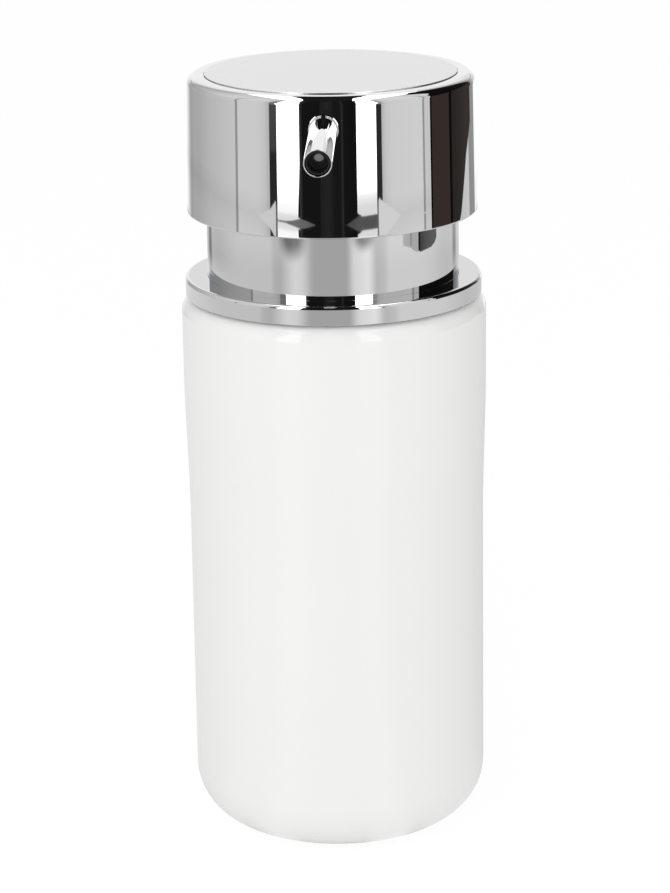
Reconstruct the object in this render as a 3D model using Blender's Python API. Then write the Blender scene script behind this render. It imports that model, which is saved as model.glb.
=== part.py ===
"""Countertop soap dispenser: a glazed bottle and a push-down pump under a drum-shaped head.

Metres, +Z up. The origin is on the dispenser's axis, on the surface that it stands on.
The spout points along -Y. Radii are measured from the axis and heights from the base.
Sizes run outwards from the pump's stem and upwards from the bottle's base, so that a
piece always takes its fit from the piece inside or below it.
"""

import math

import bmesh
import bpy

# Clearances
SEAT = 0.0003  # between faces that rest on each other
CLOSE = 0.00015  # round pressed and glued pieces
RUN = 0.0001  # round pieces that slide or turn

# Sides of a turned piece, by how large it is
SIDES_LARGE = 44
SIDES_MIDDLE = 36
SIDES_SMALL = 24
FILLET_CHORD = 0.0009  # longest facet along a fillet, up to the next number of facets
FILLET_STEPS = 7

# Stem and piston
STEM_BORE_R = 0.0020
STEM_WALL = 0.0015
STEM_STOP_PROUD = 0.0011  # thick stretch of the stem that stops under its guide
STEM_STOP_LENGTH = 0.0114
PISTON_BAND = 0.0034  # from the stem to the piston's lips
PISTON_HEIGHT = 0.0085
PISTON_LIP = 0.0016
PISTON_WAIST = 0.0013  # depth of the hollow between the lips
RETAINER_FOOT_PROUD = 0.0015
RETAINER_FOOT = 0.0016
RETAINER_SPIGOT = 0.0055
RETAINER_WALL = 0.0008
STROKE = 0.0105
BUMPER = 0.0005  # left between the hub and its guide when the head is down

# Ball valves
BALL_R = 0.0024
BALL_LIFT = 0.0015
BALL_AIR = 0.0009
BALL_SEAT_R = 0.0016

# Return spring
WIRE_R = 0.0005
SPRING_R = 0.0043
SPRING_PRESSED = 0.0183
SPRING_TURNS = 9
SPRING_TURN_POINTS = 9
SPRING_END_PITCH = 0.0016
SPRING_SEAT_HEIGHT = 0.0037

# Pump housing and the tube below it
HOUSING_WALL = 0.0015
HOUSING_FLANGE_PROUD = 0.0043
HOUSING_FLANGE = 0.0015
HOUSING_ABOVE = 0.0012  # above the bottle's shoulder
TUBE_BORE_R = 0.0023
TUBE_WALL = 0.0009
TUBE_SOCKET_WALL = 0.0017
TUBE_SOCKET_LENGTH = 0.0100
TUBE_SOCKET_ROOF = 0.0020
TUBE_ABOVE_FLOOR = 0.0030
TUBE_FOOT_SLANT = math.radians(25)

# Stem guide
GUIDE_WALL = 0.0034
GUIDE_CAP = 0.0030
GUIDE_PLUG = 0.0100
GUIDE_TOWER = 0.0135  # above the flange ring

# Closure, neck insert and gaskets
CLOSURE_WALL = 0.0031
CLOSURE_DEPTH = 0.0183  # below the bottle's shoulder
CLOSURE_FLOOR = 0.0020
CLOSURE_PLATE = 0.0025
CLOSURE_STEP = 0.0110  # from the screw plug out to the cup
CLOSURE_CUP_WALL = 0.0020
INSERT_WALL = 0.0032
INSERT_LIP_PROUD = 0.0042
INSERT_LIP = 0.0013
INSERT_LENGTH = 0.0200
HOUSING_GASKET = 0.0010
NECK_GASKET = 0.0013
NECK_GASKET_INSET = 0.0012

# Collar
FLANGE_LEDGE = 0.00517  # outside the sleeve
FLANGE_THICKNESS = 0.0044
FLANGE_FILLET = 0.0008
SLEEVE_WALL = 0.0012
SLEEVE_RISE = 0.0205  # above the flange ring
SLEEVE_GROOVE = 0.0010
SLEEVE_LIP = 0.0020
SLEEVE_FILLET = 0.0008

# Bottle
BOTTLE_HEIGHT = 0.1268
BOTTLE_PROUD = 0.00101  # outside the flange ring
BOTTLE_SWELL = 0.00072  # the upper part is this much larger in radius than the lower
SWELL_START = 0.0740
SWELL_END = 0.1100
SWELL_STEPS = 4
BOTTLE_WALL = 0.0040
BOTTLE_FLOOR = 0.0050
BOTTLE_ROOF = 0.0070
BASE_FILLET = 0.01285
SHOULDER_FILLET = 0.0035

# Head
HEAD_AIR = 0.0031  # between the sleeve and the head
HEAD_WALL = 0.0012
HEAD_HEIGHT = 0.0312
HEAD_SPARE = 0.00436  # left above the flange ring when the head is down
HEAD_DRAFT = 0.0005
HEAD_FILLET = 0.0022
HEAD_ROOF = 0.0010
DISC_RIM = 0.0040  # from the head's upper edge in to the disc
DISC_THICKNESS = 0.00085
DISC_PROUD = 0.00022  # above the head's top
DISC_EDGE = 0.0001

# Actuator core inside the head
HUB_WALL = 0.0054
ARM_WALL = 0.0012
FIN_WIDTH = 0.0030
FIN_HEIGHT = 0.0070
DUCT_R = 0.0012
DUCT_FLOOR = 0.0032  # from the duct's middle down to the stem's socket

# Spout
SPOUT_R = 0.00305
SPOUT_WALL = 0.0003
SPOUT_REACH = 0.0247  # outside the head
SPOUT_INSET = 0.0062
SPOUT_SLOPE = math.radians(6)
SPOUT_COVER = 0.00211  # from the head's roof down to the spout at its root
SHOULDER_PROUD = 0.00024  # ring on the spout that stops it at the head's wall
SHOULDER_LENGTH = 0.0008
LINER_WALL = 0.0004
LINER_RECESS = 0.0031
LINER_WEB = 0.0020
LINER_LENGTH = 0.0100
LINER_BACK = 0.00025  # behind the spout's rim
SOAP_TUBE_BORE_R = 0.00108
SOAP_TUBE_WALL = 0.0006
SOAP_TUBE_INSET = 0.0030  # past the spout's inner end, into the core
SOAP_TUBE_LID = 0.0006  # slit end that keeps the spout from dripping
SOAP_SLIT_WIDTH = 0.0001
SOAP_SLIT_LENGTH = 0.0014

# Radii that follow, from the stem outwards
STEM_R = STEM_BORE_R + STEM_WALL
STEM_HOLE_R = STEM_R + RUN
PISTON_R = STEM_R + PISTON_BAND
HOUSING_BORE_R = PISTON_R + RUN
HOUSING_R = HOUSING_BORE_R + HOUSING_WALL
HOUSING_FLANGE_R = HOUSING_R + HOUSING_FLANGE_PROUD
CLOSURE_BORE_R = HOUSING_FLANGE_R + SEAT
CLOSURE_R = CLOSURE_BORE_R + CLOSURE_WALL
CUP_R = CLOSURE_R + CLOSURE_STEP
INSERT_BORE_R = CLOSURE_R + SEAT
INSERT_R = INSERT_BORE_R + INSERT_WALL
INSERT_LIP_R = INSERT_R + INSERT_LIP_PROUD
SLEEVE_BORE_R = CUP_R + SEAT
SLEEVE_R = SLEEVE_BORE_R + SLEEVE_WALL
FLANGE_R = SLEEVE_R + FLANGE_LEDGE
BOTTLE_R = FLANGE_R + BOTTLE_PROUD
HEAD_BORE_R = SLEEVE_R + HEAD_AIR
HEAD_R = HEAD_BORE_R + HEAD_WALL

# Heights that follow, from the base upwards
FLANGE_Z = BOTTLE_HEIGHT + SEAT
FLANGE_TOP = FLANGE_Z + FLANGE_THICKNESS
SLEEVE_TOP = FLANGE_TOP + SLEEVE_RISE
HEAD_Z = FLANGE_TOP + STROKE + HEAD_SPARE
HEAD_TOP = HEAD_Z + HEAD_HEIGHT
DISC_TOP = HEAD_TOP + DISC_PROUD
CORE_TOP = DISC_TOP - DISC_THICKNESS - CLOSE - HEAD_ROOF - SEAT
GUIDE_TOP = FLANGE_TOP + GUIDE_TOWER
HUB_Z = GUIDE_TOP + STROKE + BUMPER

# Heights of the pump, from the bottle's shoulder downwards
CLOSURE_Z = BOTTLE_HEIGHT - CLOSURE_DEPTH
HOUSING_GASKET_Z = CLOSURE_Z + CLOSURE_FLOOR + SEAT
HOUSING_FLANGE_Z = HOUSING_GASKET_Z + HOUSING_GASKET + SEAT
HOUSING_TOP = BOTTLE_HEIGHT + HOUSING_ABOVE
GUIDE_PLUG_Z = HOUSING_TOP - GUIDE_PLUG
STOP_TOP = GUIDE_PLUG_Z - SEAT
STOP_Z = STOP_TOP - STEM_STOP_LENGTH
PISTON_TOP = STOP_Z - SEAT
PISTON_Z = PISTON_TOP - PISTON_HEIGHT
RETAINER_Z = PISTON_Z - SEAT - RETAINER_FOOT
SPRING_TOP = RETAINER_Z - SEAT
SPRING_Z = SPRING_TOP - STROKE - SPRING_PRESSED
SPRING_SEAT_Z = SPRING_Z - SEAT - SPRING_SEAT_HEIGHT
LEDGE_Z = SPRING_SEAT_Z - SEAT

FINISHES = {
    "white_glaze": ((0.86, 0.86, 0.85), 0.08, 0.0),
    "bright_chrome": ((0.70, 0.70, 0.705), 0.04, 1.0),
    "satin_chrome": ((0.66, 0.66, 0.66), 0.24, 1.0),
    "black_plastic": ((0.02, 0.02, 0.02), 0.35, 0.0),
    "white_plastic": ((0.82, 0.82, 0.80), 0.40, 0.0),
    "clear_plastic": ((0.74, 0.77, 0.78), 0.30, 0.0),
    "soft_seal": ((0.20, 0.21, 0.22), 0.70, 0.0),
    "spring_steel": ((0.62, 0.61, 0.59), 0.25, 1.0),
}


def finish_of(piece, finish):
    """Give the piece a Principled material of its own, with the named finish."""
    colour, roughness, metallic = FINISHES[finish]
    material = bpy.data.materials.new(piece.name)
    material.use_nodes = True
    shader = material.node_tree.nodes["Principled BSDF"]
    shader.inputs["Base Color"].default_value = (*colour, 1.0)
    shader.inputs["Roughness"].default_value = roughness
    shader.inputs["Metallic"].default_value = metallic
    piece.data.materials.append(material)


def link(name, data, parent=None):
    piece = bpy.data.objects.new(name, data)
    piece.parent = parent
    bpy.context.scene.collection.objects.link(piece)
    return piece


def piece_from(shape, name, finish=None, parent=None):
    """Turn a bmesh into an object. Without a finish it is a helper, kept out of the model."""
    bmesh.ops.recalc_face_normals(shape, faces=shape.faces)
    mesh = bpy.data.meshes.new(name)
    shape.to_mesh(mesh)
    shape.free()
    mesh.shade_smooth()
    mesh.set_sharp_from_angle(angle=math.radians(35))
    piece = link(name, mesh, parent)
    if finish:
        finish_of(piece, finish)
    else:
        piece.hide_render = True
        piece.display_type = "WIRE"
    return piece


def rounded(corners):
    """Points of a closed outline of (radius, height) or (radius, height, fillet) corners.

    A fillet is an arc that touches both sides of its corner, kept within half of each side.
    """
    points = []
    for index, corner in enumerate(corners):
        here = complex(corner[0], corner[1])
        fillet = corner[2] if len(corner) > 2 else 0.0
        before = complex(*corners[index - 1][:2]) - here
        after = complex(*corners[(index + 1) % len(corners)][:2]) - here
        if not fillet:
            points.append(here)
            continue
        half_angle = abs(math.atan2((after / before).imag, (after / before).real)) / 2
        reach = min(fillet / math.tan(half_angle), 0.49 * abs(before), 0.49 * abs(after))
        radius = reach * math.tan(half_angle)
        bisector = before / abs(before) + after / abs(after)
        centre = here + bisector / abs(bisector) * radius / math.sin(half_angle)
        first = here + before / abs(before) * reach - centre
        last = here + after / abs(after) * reach - centre
        turn = math.atan2((last / first).imag, (last / first).real)
        steps = min(math.ceil(radius * abs(turn) / FILLET_CHORD), FILLET_STEPS)
        for step in range(steps + 1):
            angle = turn * step / steps
            points.append(centre + first * complex(math.cos(angle), math.sin(angle)))
    return [(point.real, point.imag) for point in points]


def turned(name, corners, sides, finish=None, parent=None):
    """Spin a closed outline a full turn about Z. Its corners are those that rounded() takes."""
    shape = bmesh.new()
    points = rounded(corners)
    verts = [shape.verts.new((radius, 0.0, height)) for radius, height in points]
    edges = []
    for start, end in zip(verts, verts[1:] + verts[:1]):
        if start.co.x > 0 or end.co.x > 0:
            edges.append(shape.edges.new((start, end)))
    bmesh.ops.spin(
        shape,
        geom=verts + edges,
        axis=(0, 0, 1),
        cent=(0, 0, 0),
        angle=2 * math.pi,
        steps=sides,
        use_merge=True,
        use_duplicate=False,
    )
    bmesh.ops.remove_doubles(shape, verts=shape.verts, dist=1e-6)
    return piece_from(shape, name, finish, parent)


def tube(name, inner, outer, low, high, sides, finish=None, parent=None, edge=0.0):
    """A plain tube or ring, with an optional small fillet on its outer edges."""
    corners = [(inner, low), (outer, low, edge), (outer, high, edge), (inner, high)]
    return turned(name, corners, sides, finish, parent)


def rod(name, radius, low, high, sides=SIDES_SMALL, parent=None):
    """A solid round helper."""
    corners = [(0, low), (radius, low), (radius, high), (0, high)]
    return turned(name, corners, sides, parent=parent)


def block(name, low, high):
    """A box helper between two corners."""
    shape = bmesh.new()
    bmesh.ops.create_cube(shape, size=1.0)
    for vert in shape.verts:
        vert.co = [a + (b - a) * (c + 0.5) for a, b, c in zip(low, high, vert.co)]
    return piece_from(shape, name)


def combine(piece, operation, helper):
    """Join the helper to the piece, cut it out of the piece, or keep what both share."""
    boolean = piece.modifiers.new(helper.name, "BOOLEAN")
    boolean.operation = operation
    boolean.object = helper


def ball(name, height, finish):
    shape = bmesh.new()
    bmesh.ops.create_uvsphere(shape, u_segments=12, v_segments=8, radius=BALL_R)
    piece = piece_from(shape, name, finish)
    piece.location = (0, 0, height)
    return piece


def ball_seat(ball_height, wide, narrow):
    """The two corners of a 45 degree seat that the ball rests on, wide end first."""
    apex = ball_height - (BALL_R + RUN) * math.sqrt(2)
    return (wide, apex + wide), (narrow, apex + narrow)


def swell(height):
    """How far the bottle's side stands out at this height: a smooth step between its two radii."""
    share = min(max((height - SWELL_START) / (SWELL_END - SWELL_START), 0.0), 1.0)
    return BOTTLE_SWELL * share * share * (3 - 2 * share)


def make_bottle():
    """Slip-cast body with a round base edge, a drawn-in lower part and a stepped mouth."""
    lower_r = BOTTLE_R - BOTTLE_SWELL
    step = (SWELL_END - SWELL_START) / SWELL_STEPS
    heights = [SWELL_START + step * index for index in range(SWELL_STEPS + 1)]
    mouth_r = INSERT_R + SEAT
    roof = BOTTLE_HEIGHT - BOTTLE_ROOF
    side = [(lower_r + swell(height), height) for height in heights]
    inside = [(radius - BOTTLE_WALL, height) for radius, height in reversed(side)]
    corners = [(0, 0), (lower_r, 0, BASE_FILLET)]
    corners += side
    corners += [
        (BOTTLE_R, BOTTLE_HEIGHT, SHOULDER_FILLET),
        (INSERT_LIP_R + SEAT, BOTTLE_HEIGHT),
        (INSERT_LIP_R + SEAT, BOTTLE_HEIGHT - INSERT_LIP - SEAT),
        (mouth_r, BOTTLE_HEIGHT - INSERT_LIP - SEAT),
        (mouth_r, roof),
        (BOTTLE_R - BOTTLE_WALL, roof, SHOULDER_FILLET),
    ]
    corners += inside
    corners += [
        (lower_r - BOTTLE_WALL, BOTTLE_FLOOR, BASE_FILLET - BOTTLE_WALL),
        (0, BOTTLE_FLOOR),
    ]
    turned("bottle", corners, SIDES_LARGE, "white_glaze")


def make_neck():
    """Plastic insert glued into the bottle's mouth, and the gasket clamped on its lip."""
    foot = BOTTLE_HEIGHT - INSERT_LENGTH
    corners = [
        (INSERT_BORE_R, foot),
        (INSERT_R, foot),
        (INSERT_R, BOTTLE_HEIGHT - INSERT_LIP),
        (INSERT_LIP_R, BOTTLE_HEIGHT - INSERT_LIP),
        (INSERT_LIP_R, BOTTLE_HEIGHT),
        (INSERT_BORE_R, BOTTLE_HEIGHT),
    ]
    turned("neck_insert", corners, SIDES_MIDDLE, "white_plastic")
    inner = INSERT_BORE_R + NECK_GASKET_INSET
    top = FLANGE_Z + NECK_GASKET
    tube("neck_gasket", inner, INSERT_LIP_R - SEAT, FLANGE_Z, top, SIDES_MIDDLE, "soft_seal")


def make_collar():
    """Flange ring on the bottle's shoulder and the sleeve that stands in its groove."""
    gasket_roof = FLANGE_Z + NECK_GASKET + SEAT
    groove = FLANGE_TOP - SLEEVE_GROOVE
    corners = [
        (INSERT_BORE_R, FLANGE_Z),
        (INSERT_BORE_R + NECK_GASKET_INSET - SEAT, FLANGE_Z),
        (INSERT_BORE_R + NECK_GASKET_INSET - SEAT, gasket_roof),
        (INSERT_LIP_R, gasket_roof),
        (INSERT_LIP_R, FLANGE_Z),
        (FLANGE_R, FLANGE_Z),
        (FLANGE_R, FLANGE_TOP, FLANGE_FILLET),
        (SLEEVE_R + CLOSE, FLANGE_TOP),
        (SLEEVE_R + CLOSE, groove),
        (SLEEVE_BORE_R - CLOSE, groove),
        (SLEEVE_BORE_R - CLOSE, FLANGE_TOP),
        (INSERT_BORE_R, FLANGE_TOP),
    ]
    turned("flange_ring", corners, SIDES_LARGE, "bright_chrome")
    corners = [
        (SLEEVE_BORE_R, groove + SEAT),
        (SLEEVE_R, groove + SEAT),
        (SLEEVE_R, SLEEVE_TOP, SLEEVE_FILLET),
        (SLEEVE_BORE_R - SLEEVE_LIP, SLEEVE_TOP),
        (SLEEVE_BORE_R - SLEEVE_LIP, SLEEVE_TOP - SLEEVE_WALL),
        (SLEEVE_BORE_R, SLEEVE_TOP - SLEEVE_WALL),
    ]
    turned("collar_sleeve", corners, SIDES_LARGE, "bright_chrome")


def make_closure():
    """Screw plug for the neck, in one piece with the cup that backs the sleeve."""
    plate = FLANGE_TOP + SEAT
    rim = SLEEVE_TOP - SLEEVE_WALL - SEAT
    corners = [
        (HOUSING_R + SEAT, CLOSURE_Z),
        (CLOSURE_R, CLOSURE_Z),
        (CLOSURE_R, plate),
        (CUP_R, plate),
        (CUP_R, rim),
        (CUP_R - CLOSURE_CUP_WALL, rim),
        (CUP_R - CLOSURE_CUP_WALL, plate + CLOSURE_PLATE),
        (CLOSURE_BORE_R, plate + CLOSURE_PLATE),
        (CLOSURE_BORE_R, CLOSURE_Z + CLOSURE_FLOOR),
        (HOUSING_R + SEAT, CLOSURE_Z + CLOSURE_FLOOR),
    ]
    turned("closure_plug", corners, SIDES_MIDDLE, "white_plastic")


def make_housing():
    """Pump housing with its hanging flange, ball chamber and socket for the dip tube."""
    inner = HOUSING_R + SEAT
    top = HOUSING_GASKET_Z + HOUSING_GASKET
    tube(
        "housing_gasket", inner, HOUSING_FLANGE_R, HOUSING_GASKET_Z, top, SIDES_SMALL, "soft_seal"
    )
    ball_z = SPRING_SEAT_Z - CLOSE - BALL_LIFT - BALL_R
    seat_wide, seat_narrow = ball_seat(ball_z, BALL_R + BALL_AIR, BALL_SEAT_R)
    socket_r = TUBE_BORE_R + TUBE_WALL + CLOSE
    socket_top = seat_narrow[1] - TUBE_SOCKET_ROOF
    socket_z = socket_top - TUBE_SOCKET_LENGTH
    waist = seat_narrow[1]
    corners = [
        (socket_r, socket_z),
        (socket_r + TUBE_SOCKET_WALL, socket_z),
        (socket_r + TUBE_SOCKET_WALL, waist),
        (HOUSING_R, waist + HOUSING_R - socket_r - TUBE_SOCKET_WALL),
        (HOUSING_R, HOUSING_FLANGE_Z),
        (HOUSING_FLANGE_R, HOUSING_FLANGE_Z),
        (HOUSING_FLANGE_R, HOUSING_FLANGE_Z + HOUSING_FLANGE),
        (HOUSING_R, HOUSING_FLANGE_Z + HOUSING_FLANGE),
        (HOUSING_R, HOUSING_TOP),
        (HOUSING_BORE_R, HOUSING_TOP),
        (HOUSING_BORE_R, LEDGE_Z),
        (BALL_R + BALL_AIR, LEDGE_Z),
        seat_wide,
        seat_narrow,
        (BALL_SEAT_R, socket_top),
        (socket_r, socket_top),
    ]
    turned("pump_housing", corners, SIDES_SMALL, "clear_plastic")
    ball("inlet_ball", ball_z, "spring_steel")
    make_dip_tube(socket_top - SEAT)


def make_dip_tube(top):
    """Straight tube down to the bottle's floor, its foot cut at a slant."""
    outer = TUBE_BORE_R + TUBE_WALL
    foot = BOTTLE_FLOOR + TUBE_ABOVE_FLOOR
    piece = tube("dip_tube", TUBE_BORE_R, outer, foot, top, SIDES_SMALL // 2, "clear_plastic")
    for vert in piece.data.vertices:
        if vert.co.z < (foot + top) / 2:
            vert.co.z += (vert.co.x + outer) * math.tan(TUBE_FOOT_SLANT)


def make_guide():
    """Stem guide: a plug in the housing, a skirt that holds its flange, and a tower."""
    cap = HOUSING_TOP + SEAT
    tower_r = STEM_HOLE_R + GUIDE_WALL
    corners = [
        (STEM_HOLE_R, GUIDE_PLUG_Z),
        (HOUSING_BORE_R - CLOSE, GUIDE_PLUG_Z),
        (HOUSING_BORE_R - CLOSE, cap),
        (HOUSING_R + CLOSE, cap),
        (HOUSING_R + CLOSE, HOUSING_FLANGE_Z + HOUSING_FLANGE + SEAT),
        (HOUSING_FLANGE_R, HOUSING_FLANGE_Z + HOUSING_FLANGE + SEAT),
        (HOUSING_FLANGE_R, cap + GUIDE_CAP),
        (tower_r, cap + GUIDE_CAP, SLEEVE_FILLET),
        (tower_r, GUIDE_TOP),
        (STEM_HOLE_R, GUIDE_TOP),
    ]
    turned("stem_guide", corners, SIDES_SMALL, "white_plastic")


def make_piston(stem_top):
    """Stem with its stop and outlet seat, the lipped seal round it and the retainer below."""
    ball_z = stem_top + SEAT - CLOSE - BALL_LIFT - BALL_R
    seat_wide, seat_narrow = ball_seat(ball_z, BALL_R + SEAT, BALL_SEAT_R)
    stop_r = STEM_R + STEM_STOP_PROUD
    corners = [
        (STEM_BORE_R, PISTON_Z),
        (STEM_R, PISTON_Z),
        (STEM_R, STOP_Z),
        (stop_r, STOP_Z),
        (stop_r, STOP_TOP),
        (STEM_R, STOP_TOP),
        (STEM_R, stem_top),
        (BALL_R + SEAT, stem_top),
        seat_wide,
        seat_narrow,
        (BALL_SEAT_R, seat_narrow[1] - STEM_WALL),
        (STEM_BORE_R, seat_narrow[1] - 2 * STEM_WALL),
    ]
    turned("stem", corners, SIDES_SMALL, "white_plastic")
    ball("outlet_ball", ball_z, "spring_steel")

    waist_r = PISTON_R - PISTON_WAIST
    corners = [
        (STEM_HOLE_R, PISTON_Z),
        (waist_r, PISTON_Z),
        (PISTON_R, PISTON_Z - RETAINER_FOOT / 2),
        (PISTON_R, PISTON_Z + PISTON_LIP),
        (waist_r, PISTON_Z + 2 * PISTON_LIP),
        (waist_r, PISTON_TOP - 2 * PISTON_LIP),
        (PISTON_R, PISTON_TOP - PISTON_LIP),
        (PISTON_R, PISTON_TOP),
        (STEM_HOLE_R, PISTON_TOP),
    ]
    turned("piston_seal", corners, SIDES_SMALL, "soft_seal")

    spigot_r = STEM_BORE_R - RUN
    corners = [
        (spigot_r - RETAINER_WALL, RETAINER_Z),
        (STEM_R + RETAINER_FOOT_PROUD, RETAINER_Z),
        (STEM_R + RETAINER_FOOT_PROUD, RETAINER_Z + RETAINER_FOOT),
        (spigot_r, RETAINER_Z + RETAINER_FOOT),
        (spigot_r, RETAINER_Z + RETAINER_FOOT + RETAINER_SPIGOT),
        (spigot_r - RETAINER_WALL, RETAINER_Z + RETAINER_FOOT + RETAINER_SPIGOT),
    ]
    turned("piston_retainer", corners, SIDES_SMALL, "white_plastic")


def spring_height(turns):
    """Height of the wire after this many turns: one close turn at each end, even ones between."""
    bottom = SPRING_Z + WIRE_R
    length = SPRING_TOP - SPRING_Z - 2 * WIRE_R
    middle = SPRING_TURNS - 2
    pitch = (length - 2 * SPRING_END_PITCH) / middle
    in_middle = min(max(turns - 1, 0), middle)
    at_ends = min(turns, 1) + max(turns - 1 - middle, 0)
    return bottom + pitch * in_middle + SPRING_END_PITCH * at_ends


def make_spring():
    """Helical return spring, and the perforated seat that it stands on over the inlet ball."""
    count = SPRING_TURNS * SPRING_TURN_POINTS + 1
    points = []
    for index in range(count):
        turns = index / SPRING_TURN_POINTS
        angle = 2 * math.pi * turns
        place = (SPRING_R * math.cos(angle), SPRING_R * math.sin(angle), spring_height(turns))
        points.append(place)
    curve = bpy.data.curves.new("return_spring", "CURVE")
    curve.dimensions = "3D"
    curve.bevel_depth = WIRE_R
    curve.bevel_resolution = 1
    curve.use_fill_caps = True
    wire = curve.splines.new("POLY")
    wire.points.add(count - 1)
    for point, place in zip(wire.points, points):
        point.co = (*place, 1.0)
    finish_of(link("return_spring", curve), "spring_steel")
    gaps = []
    for index, place in enumerate(points[: count - SPRING_TURN_POINTS // 2]):
        later = points[index + SPRING_TURN_POINTS // 2 :]
        gaps.append(min(math.dist(place, other) for other in later) - 2 * WIRE_R)
    print(f"return_spring: least gap to itself {min(gaps) * 1000:.2f} mm")

    top = SPRING_SEAT_Z + SPRING_SEAT_HEIGHT
    shelf = SPRING_SEAT_Z + SPRING_SEAT_HEIGHT / 2
    corners = [
        (BALL_SEAT_R, SPRING_SEAT_Z),
        (HOUSING_BORE_R - CLOSE, SPRING_SEAT_Z),
        (HOUSING_BORE_R - CLOSE, top),
        (SPRING_R - 2 * WIRE_R, top),
        (BALL_SEAT_R, shelf),
    ]
    turned("spring_seat", corners, SIDES_SMALL, "white_plastic")


def head_radius(height):
    """Outer radius of the head, which narrows a little towards its top."""
    return HEAD_R - HEAD_DRAFT * (height - HEAD_Z) / HEAD_HEIGHT


def make_head(spout):
    """Drum-shaped shell, open below, and the disc let into its top."""
    ceiling = CORE_TOP + SEAT
    disc_r = head_radius(HEAD_TOP) - DISC_RIM
    recess = DISC_TOP - DISC_THICKNESS - CLOSE
    corners = [
        (0, ceiling),
        (0, recess),
        (disc_r + CLOSE, recess),
        (disc_r + CLOSE, HEAD_TOP),
        (head_radius(HEAD_TOP), HEAD_TOP, HEAD_FILLET),
        (HEAD_R, HEAD_Z, HEAD_WALL / 4),
        (HEAD_BORE_R, HEAD_Z, HEAD_WALL / 4),
        (head_radius(ceiling) - HEAD_WALL, ceiling, HEAD_FILLET - HEAD_WALL),
    ]
    shell = turned("head_shell", corners, SIDES_LARGE, "bright_chrome")
    hole = rod("spout_hole", SPOUT_R + CLOSE, -3 * HEAD_WALL, 3 * HEAD_WALL, parent=spout)
    combine(shell, "DIFFERENCE", hole)
    corners = [
        (0, recess + CLOSE),
        (disc_r, recess + CLOSE),
        (disc_r, DISC_TOP, DISC_EDGE),
        (0, DISC_TOP),
    ]
    turned("top_disc", corners, SIDES_LARGE, "satin_chrome")


def make_core(spout, duct_z, stem_top):
    """Moulded core of the head: hub on the stem, hollow arm to the spout and three fins."""
    hub_r = STEM_HOLE_R + HUB_WALL
    wide = head_radius(CORE_TOP) - HEAD_WALL - SEAT
    above = CORE_TOP + ARM_WALL
    arm_half = SPOUT_R + CLOSE + ARM_WALL
    arm_z = spout.location.z - arm_half
    fin_z = CORE_TOP - FIN_HEIGHT
    half = FIN_WIDTH / 2
    core = turned(
        "actuator_core",
        [(0, HUB_Z), (hub_r, HUB_Z, ARM_WALL / 2), (hub_r, above), (0, above)],
        SIDES_SMALL,
        "white_plastic",
    )
    inside = [(0, HUB_Z - ARM_WALL), (wide, HUB_Z - ARM_WALL), (wide, CORE_TOP, ARM_WALL), (0, CORE_TOP)]
    combine(core, "UNION", block("core_arm", (-arm_half, -HEAD_R, arm_z), (arm_half, 0, above)))
    combine(core, "UNION", block("core_side_fins", (-HEAD_R, -half, fin_z), (HEAD_R, half, above)))
    rear_low = (-half, -half, fin_z + CLOSE)
    combine(core, "UNION", block("core_rear_fin", rear_low, (half, HEAD_R, above + CLOSE)))
    combine(core, "INTERSECT", turned("core_room", inside, SIDES_LARGE))

    socket = rod("stem_socket", STEM_HOLE_R, HUB_Z - ARM_WALL, stem_top + SEAT)
    riser = rod("core_riser", BALL_SEAT_R, stem_top, duct_z, SIDES_SMALL // 2)
    bore = rod("spout_bore", SPOUT_R + CLOSE, -SPOUT_INSET - SEAT, SPOUT_INSET, parent=spout)
    end = SPOUT_INSET + SOAP_TUBE_INSET + SEAT
    tube_r = SOAP_TUBE_BORE_R + SOAP_TUBE_WALL
    tube_bore = rod("soap_tube_bore", tube_r + CLOSE, -end, 0, SIDES_SMALL // 2, spout)
    reach = -spout.location.y - end * math.cos(SPOUT_SLOPE) + DUCT_R / 2
    duct = rod("core_duct", DUCT_R, 0, reach, SIDES_SMALL // 2)
    duct.location.z = duct_z
    duct.rotation_euler.x = math.pi / 2
    for helper in (socket, riser, bore, tube_bore, duct):
        combine(core, "DIFFERENCE", helper)


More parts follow.
